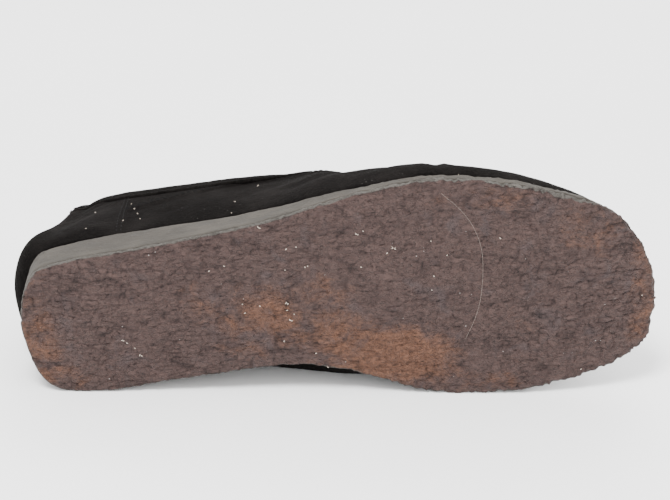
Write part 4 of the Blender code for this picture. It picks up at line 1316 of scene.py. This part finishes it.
def outsole_sheet():
    """The tread sheet, its wrinkled underside in a fine grid, its edge rounded and a little torn."""
    ways = even_ways(TREAD_WAYS)
    count = len(ways)
    rows = []
    reliefs = []
    spine, _ = crest_point(edge(ways)[:, 0])
    torn = edge_moved(ways, ragged(ways) - RIM_ROUNDING) - spine
    for r in np.linspace(0.0, 1.0, TREAD_ROWS) ** 0.92:
        point = spine + torn * r
        crumb = crumb_relief(point[:, 0], point[:, 1])
        rows.append(over_tread(point, 0.0007 * ease((r - 0.982) / 0.018) - TREAD_RELIEF * crumb))
        reliefs.append(crumb)
    for k, z in enumerate((0.0010, 0.0018, 0.0025, OUTSOLE_THICKNESS)):
        rows.append(over_tread(edge_moved(ways, ragged(ways, z) - RIM_ROUNDING * (k == 3)), z))
        reliefs.append(crumb_relief(round_run(ways), z))
    for share in (0.55, 0.0):
        rows.append(over_tread(spine + (edge(ways) - spine) * share, OUTSOLE_THICKNESS))
        reliefs.append(np.zeros(count))
    faces = grid_faces(len(rows), count, True)
    relief = 0.5 + 0.5 * np.clip(np.concatenate(reliefs), -1.0, 1.0)
    level = np.repeat([0.0] * (TREAD_ROWS - 1) + [0.35] + [1.0] * 6, count)
    marks = {"relief": relief, "rim": level}
    thing = mesh_object("crepe_outsole", np.vstack(rows), faces, TREAD, marks=marks)
    return finish_piece(thing, "brown_crepe", "outsole")


def wedge_block():
    """The wedge, its side trimmed with small lumps and torn places, slightly waisted between its layers."""
    ways = even_ways(WEDGE_WAYS)
    base = OUTSOLE_THICKNESS + GAP
    x = edge(ways)[:, 0]
    spine, _ = crest_point(x)
    run = round_run(ways)
    low, high = tread_height(x) + base, sole_top(x)
    rows = [over_tread(spine + (edge(ways) - spine) * share, base) for share in (0.0, 0.9)]
    for rise in (0.0, 0.05, 0.14, 0.24, 0.34, 0.44, 0.54, 0.64, 0.74, 0.84, 0.93, 1.0):
        z = low + (high - low) * rise
        lumps = ragged(ways, z) * 0.55 + 0.00022 * unevenness(run / 0.011, z / 0.006, 41.0)
        rounded = 0.0006 * (rise == 0.0) + 0.0007 * (rise == 1.0)
        rows.append(np.column_stack([edge_moved(ways, side_offset(ways, rise) + lumps - rounded), z]))
    rim = edge_moved(ways, side_offset(ways, 1.0) - 0.0022)
    rows.append(np.column_stack([rim, high]))
    rows += [over_sole(spine + (edge(ways) - spine) * share) for share in (0.5, 0.0)]
    thing = mesh_object("crepe_wedge", np.vstack(rows), grid_faces(len(rows), len(ways), True), SIDE)
    return finish_piece(thing, "grey_crepe", "wedge")


def foot_bed():
    """The foot bed, pressed a little hollow under heel and ball."""
    ways = even_ways(BED_WAYS)
    spine, _ = crest_point(edge(ways)[:, 0])
    border = feather(ways, WALL + INSOLE_CLEARANCE)
    rows = [over_sole(spine, GAP), over_sole(border, GAP)]
    for r in (1.0, 0.985, 0.95, 0.88, 0.78, 0.66, 0.52, 0.36, 0.18, 0.0):
        point = spine + (border - spine) * r
        share = point[:, 0] / LENGTH
        pressed = sum(depth * hump((share - middle) / reach) for middle, reach, depth in BED_HOLLOWS)
        pressed = pressed * (1.0 - r * r)
        rows.append(over_sole(point, GAP + INSOLE_THICKNESS - pressed - 0.0007 * (r == 1.0)))
    thing = mesh_object("foot_bed", np.vstack(rows), grid_faces(len(rows), len(ways), True), LINING)
    return finish_piece(thing, "lining", "insole")


outsole_sheet()
wedge_block()
foot_bed()


# Upper
def quarter_layer(x, z):
    """1 on the quarters, their tabs and the heel piece, 0 on the vamp under them."""
    heel = ease((QUARTER_EDGE[0][0] + 0.0005 - x) / 0.001)
    edge_height = quarter_edge(x)
    front = ease((QUARTER_EDGE[-1][0] - x) / 0.0012)
    slope = np.abs(np.gradient(quarter_edge.values, quarter_edge.shares))
    steep = np.interp(x, quarter_edge.shares, slope)
    over = ease((z - edge_height) / (0.0010 * np.sqrt(1.0 + steep**2)) + 0.5)
    return np.maximum(heel, over * front)


def fold_relief(points, way, angle):
    """Creases of wear: soft troughs with a low ridge beside each."""
    x, z = points[..., 0], points[..., 2]
    relief = np.zeros_like(x)
    down = 1.0 - angle / (math.pi / 2)
    for crest_x, side_x, reach, depth, width in FLEX_FOLDS:
        line = crest_x + (side_x - crest_x) * down + 0.0016 * unevenness(down * 5.0, crest_x * 90.0, 51.0)
        away = (x - line) / width
        fade = ease((reach - down) / 0.3)
        relief -= depth * fade * hump(away)
        relief += 0.45 * depth * fade * (hump(away - 1.7) + hump(away + 1.7))
    for x0, z0, x1, z1, depth, width, inner_share in SIDE_FOLDS:
        run = np.array([x1 - x0, z1 - z0])
        long = np.linalg.norm(run)
        run /= long
        along = (x - x0) * run[0] + (z - z0) * run[1]
        across = (x - x0) * -run[1] + (z - z0) * run[0] + 0.0014 * np.sin(along / long * 5.0 + x0 * 80.0)
        fade = ease(along / long * 3.0) * ease((1.0 - along / long) * 3.0)
        kept = np.where(is_inner(way), inner_share, OUTER_FOLD_SHARE)
        relief -= depth * fade * kept * hump(across / width)
        relief += 0.5 * depth * fade * kept * hump((across - 1.8 * width) / width)
    return relief


def upper_relief(way, angle, points):
    """How far the suede stands out of or in from the plain form."""
    x, z = points[..., 0], points[..., 2]
    share = x / LENGTH
    reach = form_reach(way)
    seam = seam_angle(way)
    away = (angle - seam) * reach
    here = seam_relief(along(way))
    run = 2.2 * round_run(way)
    ridge = here * SEAM_RELIEF * hump(away / (SEAM_WIDTH * 0.42))
    ridge = ridge * (1.0 + 0.16 * np.sin(run * 2.0 * math.pi / SEAM_PITCH))
    gather = here * SEAM_GATHER * np.sin(run * 2.0 * math.pi / SEAM_PITCH + 0.6)
    gather = gather * hump((away + 0.0046) / 0.0036) * (0.4 + 0.6 * ease((share - 0.72) / 0.2))
    groove = -here * SEAM_GROOVE * (hump((away - 0.0030) / 0.0012) + 0.8 * hump((away + 0.0030) / 0.0012))
    layer = QUARTER_STEP * quarter_layer(x, z)
    total = ridge + gather + groove + layer + fold_relief(points, way, angle)
    total += sum(depth * solid_noise(points, size, seed) for depth, size, seed in SUEDE_WAVES)
    return total * ease(angle / 0.10)


def upper_ways():
    """Ways of the upper's ribs, closer along the facings."""
    half = even_ways(UPPER_WAYS)[: UPPER_WAYS + 1]
    x = edge(half)[:, 0]
    keep = half[(x < FACING_TOP - 0.0016) | (x > THROAT_END + 0.0016)]
    fine = np.concatenate(
        [
            np.linspace(FACING_TOP - BAND_STOP, FACING_TOP + CORNER_LENGTH, 12),
            np.linspace(FACING_TOP + CORNER_LENGTH, THROAT_END - 0.0004, 34)[1:],
            [THROAT_END + 0.0003],
        ]
    )
    half = np.sort(np.concatenate([keep, way_at(fine, False)]))
    return np.concatenate([half, 2.0 - half[-2:0:-1]])


def upper_shell():
    """The hollow upper: suede outside, lining inside, with apron seam, tabs, wear folds and lace holes."""
    ways = upper_ways()
    count = len(ways)
    seam, end = seam_angle(ways), opening_angle(ways)
    half = 2.4 * SEAM_WIDTH / form_reach(ways)
    below = np.linspace(0.0, 1.0, 27)[:-1] ** 0.85
    around = np.linspace(-1.0, 1.0, 16)
    above = np.linspace(0.0, 1.0, 25)[1:]
    low, high = np.maximum(seam - half, 0.2 * seam), np.minimum(seam + half, 0.5 * (seam + end))
    angles = [low * s for s in below]
    angles += [seam + np.where(s < 0, (seam - low) * s, (high - seam) * s) for s in around]
    angles += [high + (end - high) * s for s in above]
    angles = np.array(angles)
    way_grid = np.broadcast_to(ways, angles.shape)
    plain = form_point(way_grid, angles)
    normals = form_normal(way_grid, angles)
    relief = upper_relief(way_grid, angles, plain)
    open_rim = (edge(ways)[:, 0] < THROAT_END)[None, :]
    near_rim = ease(((end[None, :] - angles) * form_reach(ways)[None, :]) / 0.0008)
    eased = np.where(open_rim, 0.00035 * (1.0 - near_rim), 0.0)
    outer = plain + normals * (relief - eased)[..., None]
    inner = plain - normals * (WALL - eased - 0.25 * np.clip(relief, -0.0008, 0.0))[..., None]
    inner[0, :, 2] = outer[0, :, 2]
    rows = len(angles)
    points = np.vstack([outer.reshape(-1, 3), inner.reshape(-1, 3)])
    start = rows * count
    faces = grid_faces(rows, count, True).tolist()
    faces += grid_faces(rows, count, True, start, flip=True).tolist()
    inside = [0] * (len(faces) // 2) + [1] * (len(faces) // 2)
    closed = edge(ways)[:, 0] >= THROAT_END
    for k in range(count):
        n = (k + 1) % count
        faces.append([n, k, start + k, start + n])
        inside.append(0)
        if not (closed[k] and closed[n]):
            a, b = (rows - 1) * count + k, (rows - 1) * count + n
            faces.append([a, b, start + b, start + a])
            inside.append(0)
    thing = mesh_object("suede_upper", points, faces, SUEDE, inside=(LINING, inside), weld=4e-5)
    for hole_x in (LOWER_HOLES, UPPER_HOLES):
        for inner_side in (False, True):
            punch_hole(thing, hole_x, inner_side)
    return finish_piece(thing, "suede", "upper")


def punch_hole(thing, hole_x, inner_side):
    """Cuts a lace hole through the wall."""
    way, angle = hole_place(hole_x, inner_side)
    centre = Vector(lay(skin(way, angle, -WALL / 2)))
    axis = Vector(lay_direction(form_normal(way, angle)))
    mesh = bpy.data.meshes.new("hole_punch")
    work = bmesh.new()
    bmesh.ops.create_cone(
        work,
        cap_ends=True,
        segments=32,
        radius1=HOLE_DIAMETER / 2,
        radius2=HOLE_DIAMETER / 2,
        depth=5 * WALL,
        matrix=Matrix.Translation(centre) @ axis.to_track_quat("Z", "Y").to_matrix().to_4x4(),
    )
    work.to_mesh(mesh)
    work.free()
    mesh.materials.append(SUEDE)
    punch = put("hole_punch", mesh)
    cut = thing.modifiers.new("lace_hole", "BOOLEAN")
    cut.operation = "DIFFERENCE"
    cut.solver = "EXACT"
    cut.object = punch
    bake(thing)
    bpy.data.objects.remove(punch)


def bake(thing):
    """Turns the object's modifiers into plain mesh that doesn't reach under the floor."""
    result = bpy.data.meshes.new_from_object(thing.evaluated_get(bpy.context.evaluated_depsgraph_get()))
    thing.modifiers.clear()
    thing.data = result
    for vertex in result.vertices:
        vertex.co.z = max(vertex.co.z, 0.0)
    return thing


def collar_trim():
    """The folded suede strip over the topline, softly padded, with its lower edge turned in."""
    half = way_at(np.linspace(0.0, FACING_TOP - BAND_STOP, 3), False)[-1]
    s = np.linspace(0.0, 1.0, TOPLINE_WAYS)
    outer = half * (s - 0.30 * np.sin(math.pi * s) * (1.0 - s))
    ways = np.concatenate([outer[::-1], 2.0 - outer[1:]])
    top = opening_angle(ways)
    low = angle_at_height(ways, topline_height(ways) - BAND_HEIGHT)
    thin = 1.0 - COLLAR_THINNING * (1.0 - ease((along(ways) - 0.05) / 0.10))
    near, far = GAP, GAP + BAND_THICKNESS * thin
    over = unit(form_point(ways, top) - form_point(ways, top - 0.02))
    run = round_run(ways + 1.0)
    soft = 0.00022 * unevenness(run / 0.009, 0.0, 81.0) + 0.0001 * unevenness(run / 0.0032, 0.0, 83.0)
    rings = []
    for t in (0.0, 0.03, 0.10, 0.20, 0.34, 0.50, 0.66, 0.82, 0.94):
        pad = COLLAR_PAD * math.sin(math.pi * min(1.0, t / 0.9)) ** 0.7 - 0.0004 * (t == 0.0)
        stitch = -COLLAR_GROOVE * math.exp(-(((t - 0.20) / 0.07) ** 2))
        height = topline_height(ways) - BAND_HEIGHT + BAND_HEIGHT * t
        wave = COLLAR_WAVE * unevenness(run / 0.013, 3.0, 87.0) * (t < 0.05)
        angle = np.where(t < 0.93, angle_at_height(ways, height + wave), low + (top - low) * t)
        layer = QUARTER_STEP * quarter_layer(form_point(ways, angle)[:, 0], height)
        rings.append(skin(ways, angle, far + pad + stitch + soft + 0.4 * layer))
    for turn in np.radians([20.0, 50.0, 80.0, 100.0, 130.0, 160.0]):
        wide = WALL / 2 + far
        rings.append(
            skin(ways, top, -WALL / 2 + wide * math.cos(turn) + 0.4 * soft)
            + over * (far * (0.30 + 0.95 * math.sin(turn)) + soft)[:, None]
        )
    for t in (0.94, 0.75, 0.5, 0.25, 0.08, 0.0):
        pad = 0.0006 * math.sin(math.pi * t) - 0.0004 * (t == 0.0)
        rings.append(skin(ways, low + (top - low) * t, -WALL - far - pad))
    for t in (0.0, 0.5, 1.0):
        rings.append(skin(ways, low + (top - low) * t, -WALL - near))
    rings.append(skin(ways, top, -WALL / 2) + over * near)
    for t in (1.0, 0.5, 0.0):
        rings.append(skin(ways, low + (top - low) * t, near))
    points = np.stack(rings, axis=1).reshape(-1, 3)
    thing = mesh_object("collar_trim", points, rod_faces(len(ways), len(rings)), SUEDE_TRIM, weld=0.0)
    return finish_piece(thing, "suede", "collar_band")


def tongue_sheet():
    """The tongue, with a rounded top corner and thin edges."""
    start, end = FACING_TOP - TONGUE_RISE, THROAT_END + TONGUE_TAIL
    rows = []
    along = np.linspace(0.0, 1.0, 40)
    across = np.sin(np.linspace(-1.0, 1.0, 31) * math.pi / 2)
    for side in (1.0, -1.0):
        for share in along:
            wide = TONGUE_WIDTH / 2 * (TONGUE_NECK + (1.0 - TONGUE_NECK) * ease(share / TONGUE_NECK_REACH))
            wide *= 1.0 - 0.22 * (1.0 - ease(share / 0.10)) ** 2
            x = start + (end - start) * share
            distance = np.abs(across) * wide
            way = way_at(np.full_like(across, x), across > 0)
            angle = np.minimum(angle_at_level(way, distance), CREST_ANGLE)
            tip = (1.0 - max(0.0, 1.0 - share / 0.03) ** 2) ** 0.5
            thick = TONGUE_THICKNESS / 2 * (1.0 - across**6) ** 0.5 * tip
            puff = 0.00025 * unevenness(across * 3.0, share * 5.0, 91.0)
            middle = -WALL - SOFT_GAP - TONGUE_THICKNESS / 2
            rows.append(skin(way, angle, middle + side * thick + (puff if side < 0 else 0.0)))
    points = np.array(rows)
    count, sides = len(along), len(across)
    faces = grid_faces(count, sides, False).tolist()
    faces += grid_faces(count, sides, False, count * sides, flip=True).tolist()
    last, under = (count - 1) * sides, (2 * count - 1) * sides
    faces += [[last + k, last + k + 1, under + k + 1, under + k] for k in range(sides - 1)]
    thing = mesh_object("tongue_sheet", points.reshape(-1, 3), faces, SUEDE_TRIM, weld=2e-5)
    return finish_piece(thing, "suede", "tongue")


upper_shell()
collar_trim()
tongue_sheet()


# Stitches
STITCH_SOCKETS = [
    ("Pitch", "NodeSocketFloat"), ("Stitch Length", "NodeSocketFloat"),
    ("Thread Width", "NodeSocketFloat"), ("Slant", "NodeSocketFloat"), ("Seed", "NodeSocketInt"),
    ("Thread", "NodeSocketMaterial"),
]


def stitch_tree():
    """Geometry Nodes: stitches set along a line that carries the surface's outward direction."""
    tree = bpy.data.node_groups.new("stitch_row", "GeometryNodeTree")
    sockets = {}
    tree.interface.new_socket("Geometry", in_out="INPUT", socket_type="NodeSocketGeometry")
    for label, kind in STITCH_SOCKETS:
        sockets[label] = tree.interface.new_socket(label, in_out="INPUT", socket_type=kind).identifier
    tree.interface.new_socket("Geometry", in_out="OUTPUT", socket_type="NodeSocketGeometry")
    given = tree.nodes.new("NodeGroupInput").outputs
    leave = tree.nodes.new("NodeGroupOutput")

    def add(kind, settings=None, output=0, **links):
        """One output of a new node. Its inputs are given by name, or by number as i0, i1 and so on."""
        made = tree.nodes.new(kind)
        for key, value in (settings or {}).items():
            setattr(made, key, value)
        for key, value in links.items():
            numbered = key[0] == "i" and key[1:].isdigit()
            target = made.inputs[int(key[1:]) if numbered else key.replace("_", " ")]
            if isinstance(value, bpy.types.NodeSocket):
                tree.links.new(value, target)
            else:
                target.default_value = value
        return made.outputs[output]

    curve = add("GeometryNodeMeshToCurve", Mesh=given["Geometry"])
    by_length = {"mode": "LENGTH"}
    spaced = add("GeometryNodeResampleCurve", by_length, Curve=curve, Length=given["Pitch"])
    outward = add("GeometryNodeInputNamedAttribute", {"data_type": "FLOAT_VECTOR"}, Name="outward")
    tangent = add("GeometryNodeInputTangent")
    align = "FunctionNodeAlignRotationToVector"
    face = add(align, {"axis": "Z"}, Vector=outward)
    turned = add(align, {"axis": "X", "pivot_axis": "Z"}, Rotation=face, Vector=tangent)
    plain = {"data_type": "FLOAT"}
    sway = add("FunctionNodeRandomValue", plain, 1, i2=-STITCH_SWAY, i3=STITCH_SWAY, Seed=given["Seed"])
    slant = add("ShaderNodeMath", {"operation": "ADD"}, i0=given["Slant"], i1=sway)
    spin = add("FunctionNodeAxisAngleToRotation", Axis=(0.0, 0.0, 1.0), Angle=slant)
    posed = add("FunctionNodeRotateRotation", {"rotation_space": "LOCAL"}, Rotation=turned, Rotate_By=spin)
    ball = add("GeometryNodeMeshUVSphere", Segments=8, Rings=6, Radius=0.5)
    wide = given["Thread Width"]
    size = add("ShaderNodeCombineXYZ", X=given["Stitch Length"], Y=wide, Z=wide)
    thread = add("GeometryNodeTransform", Geometry=ball, Scale=size)
    set_out = add("GeometryNodeInstanceOnPoints", Points=spaced, Instance=thread, Rotation=posed)
    real = add("GeometryNodeRealizeInstances", Geometry=set_out)
    soft = add("GeometryNodeSetShadeSmooth", Geometry=real)
    coloured = add("GeometryNodeSetMaterial", Geometry=soft, Material=given["Thread"])
    tree.links.new(coloured, leave.inputs[0])
    return tree, sockets


STITCHES, STITCH_INPUTS = stitch_tree()


def stitch_rows(name, lines, sizes, material):
    """Stitches along lines given as points and outward directions in the standing frame."""
    points, outward, edges = [], [], []
    for line, out in lines:
        start = sum(len(p) for p in points)
        points.append(lay(line))
        outward.append(lay_direction(out))
        edges += [(start + k, start + k + 1) for k in range(len(line) - 1)]
    mesh = bpy.data.meshes.new(name)
    mesh.from_pydata(np.vstack(points).tolist(), edges, [])
    mesh.attributes.new("outward", "FLOAT_VECTOR", "POINT").data.foreach_set(
        "vector", np.vstack(outward).ravel().astype(float)
    )
    thing = put(name, mesh)
    row = thing.modifiers.new("stitches", "NODES")
    row.node_group = STITCHES
    for (label, _), value in zip(STITCH_SOCKETS, (*sizes, material)):
        row[STITCH_INPUTS[label]] = value
    bake(thing)
    finish_piece(thing, "suede")


def suede_line(way, angle, lift=STITCH_LIFT):
    """A line on the suede's relief, with its outward directions."""
    plain = form_point(way, angle)
    normal = form_normal(way, angle)
    return plain + normal * (upper_relief(way, angle, plain) + lift)[:, None], normal


def quarter_line(distance):
    """The quarter's edge moved in by a distance, as x and height."""
    rows = open_curve(QUARTER_EDGE, 10)
    run = unit(np.gradient(rows, axis=0))
    return rows[:, 0] - run[:, 1] * distance, rows[:, 1] + run[:, 0] * distance


def seam_stitches():
    """Fine rows along the quarter's edge, the heel piece and the back, both sides."""
    lines = []
    for inner in (False, True):
        for inset in SEAM_INSETS:
            x, z = quarter_line(inset)
            way = way_at(x[z < SEAM_TOP], inner)
            lines.append(suede_line(way, angle_at_height(way, z[z < SEAM_TOP])))
        for inset in SEAM_INSETS:
            z = np.linspace(0.0245, 0.0680, 60)
            way = way_at(np.full_like(z, QUARTER_EDGE[0][0] - inset), inner)
            lines.append(suede_line(way, angle_at_height(way, z)))
    stitch_rows("seam_stitches", lines, SEAM_STITCH, THREAD)


def collar_stitches():
    """The row that holds the collar's strip."""
    x = np.linspace(0.0035, FACING_TOP - 0.003, 220)
    ways = np.concatenate([way_at(x, False)[::-1], np.linspace(0.012, 0.0, 5)[1:-1], way_at(x, True)])
    height = topline_height(ways) - BAND_HEIGHT * 0.80
    angle = angle_at_height(ways, height)
    plain = skin(ways, angle, GAP + BAND_THICKNESS + 0.00028)
    stitch_rows("collar_stitches", [(plain, form_normal(ways, angle))], COLLAR_STITCH, THREAD)


def facing_stitches():
    """Rows beside the facings' edges."""
    lines = []
    x = np.linspace(FACING_TOP + 0.003, THROAT_END - 0.002, 30)
    for inner in (False, True):
        way = way_at(x, inner)
        lines.append(suede_line(way, angle_at_level(way, facing_distance(x) + 0.0020)))
    stitch_rows("facing_stitches", lines, FACING_STITCH, THREAD)


def apron_stitches():
    """Thick hand stitches over the apron's raised seam."""
    way = np.linspace(way_at(0.181, False), way_at(0.181, True), 500)
    stitch_rows("apron_stitches", [suede_line(way, seam_angle(way), 0.00012)], APRON_STITCH, APRON_THREAD)


seam_stitches()
collar_stitches()
facing_stitches()
apron_stitches()


# Dust, lint and a hair that lie on the shoe. Places as the camera sees them: across, down, size
LINT_PLACES = [
    (122, 340, 1.0), (127, 343, 0.8), (135, 348, 0.9), (140, 355, 1.1), (209, 271, 0.8),
    (224, 266, 0.8), (258, 227, 1.2), (285, 270, 0.8), (286, 249, 0.9), (296, 247, 0.7),
    (305, 267, 0.8), (308, 266, 0.7), (286, 303, 1.2), (287, 310, 0.9), (290, 320, 1.3),
    (294, 314, 0.7), (284, 341, 0.9), (245, 313, 0.8), (356, 234, 1.1), (363, 231, 0.8),
    (393, 248, 1.5), (387, 253, 0.9), (361, 267, 0.8), (434, 276, 0.9), (432, 290, 0.7),
    (447, 255, 0.8), (431, 241, 0.7), (500, 238, 0.9), (642, 295, 0.8), (581, 369, 0.8),
    (316, 353, 0.8), (328, 367, 0.7), (260, 306, 0.7), (242, 304, 0.8),
]
SUEDE_SPECKS = [
    (129, 201.5, 1.0), (131.5, 205.5, 1.2), (134.5, 210, 0.9), (138, 215, 1.0), (141, 220, 0.9),
    (124, 222, 0.8), (86, 230, 0.8), (63, 212, 0.7), (232, 216, 0.8), (235, 203, 0.9), (258, 187, 1.0),
    (96, 214, 0.6),
]
HAIR_LINE = [
    (441.5, 193.5), (460, 209.5), (473, 226.5), (480.8, 246), (483, 266), (481.8, 290), (478.5, 308),
    (473, 323.5), (465.6, 338.7),
]


def fleck(place, normal, size, seed):
    """A small curled wisp of lint as an open tube of few faces. Gives points and faces."""
    normal = unit(normal)
    side = unit(np.cross(normal, [0.31, 0.77, 0.55]))
    other = np.cross(normal, side)
    t = np.linspace(-1.0, 1.0, FLECK_ROWS)
    bend = unevenness(np.array([seed * 1.7]), np.array([0.5]), 5.0)[0]
    turn = seed * 2.4
    ahead = side * math.cos(turn) + other * math.sin(turn)
    beside = np.cross(normal, ahead)
    path = place + ahead * (t * size / 2)[:, None] + beside * (bend * size * t**2)[:, None]
    path = path + normal * (0.00022 + 0.00016 * np.cos(t * 2.5 + seed))[:, None]
    radius = FLECK_RADIUS * (1.0 - 0.8 * np.abs(t) ** 3)
    turns = full_turn(FLECK_SIDES)
    ring = beside[None] * np.cos(turns)[:, None] + normal[None] * np.sin(turns)[:, None]
    points = path[:, None] + ring[None] * radius[:, None, None]
    return points.reshape(-1, 3), rod_faces(FLECK_ROWS, FLECK_SIDES)


def scatter_lint():
    """Wisps of lint on the tread, the sole's side and the suede."""
    spots = []
    outwards = np.array([0.0, 0.0, -1.0])
    for k, (across, down, size) in enumerate(LINT_PLACES):
        place = on_tread(across, down, -0.0003)
        spots.append((place, outwards, LINT_SIZE * size, k))
        if size > 0.95:
            spots.append((place + np.array([0.0008, 0.0004, 0.0]), outwards, 0.0008 * size, k + 50))
    for k, (across, down, size) in enumerate(SUEDE_SPECKS):
        place, normal = on_suede(across, down)
        spots.append((place + normal * 0.0005, normal, LINT_SIZE * size, 70 + k))
    for k, share in enumerate((0.605, 0.64, 0.69, 0.74, 0.775, 0.80, 0.83, 0.86, 0.885)):
        way = way_at(share * LENGTH, False)
        place = np.array([*feather(way), sole_top(share * LENGTH) + 0.0002])
        spots.append((place, np.array([0.0, -0.7, -0.7]), 0.0014, 90 + k))
    points, faces = [], []
    for place, normal, size, seed in spots:
        start = sum(len(p) for p in points)
        some, quads = fleck(place, normal, size, seed)
        points.append(some)
        faces += [[start + v for v in face] for face in quads]
    finish_piece(mesh_object("lint_wisps", np.vstack(points), faces, PALE_LINT, weld=0.0), "brown_crepe")


def long_hair():
    """One long pale hair that lies across the tread."""
    path = np.array([on_tread(across, down, -HAIR_LIFT) for across, down in open_curve(HAIR_LINE, 8)])
    finish_piece(tube("long_hair", path, HAIR_RADIUS, HAIR, sides=6, lying=False), "brown_crepe")


scatter_lint()
long_hair()


# Floor, light and world
floor_mesh = bpy.data.meshes.new("floor")
corners = [(FLOOR_HALF * x, FLOOR_HALF * y, 0.0) for x, y in ((-1, -1), (1, -1), (1, 1), (-1, 1))]
floor_mesh.from_pydata(corners, [], [(0, 1, 2, 3)])
floor_mesh.materials.append(floor_finish())
floor = put("floor", floor_mesh)

for name, place, size, power in LAMPS:
    lamp_data = bpy.data.lights.new(name, "AREA")
    lamp_data.size = size
    lamp_data.energy = power
    lamp = put(name, lamp_data)
    lamp.location = place
    lamp.rotation_euler = (Vector(LAMP_AIM) - Vector(place)).to_track_quat("-Z", "Y").to_euler()

world = bpy.data.worlds.new("studio")
world.use_nodes = True
world.node_tree.nodes["Background"].inputs["Color"].default_value = (1.0, 1.0, 1.0, 1.0)
world.node_tree.nodes["Background"].inputs["Strength"].default_value = WORLD_STRENGTH
bpy.context.scene.world = world
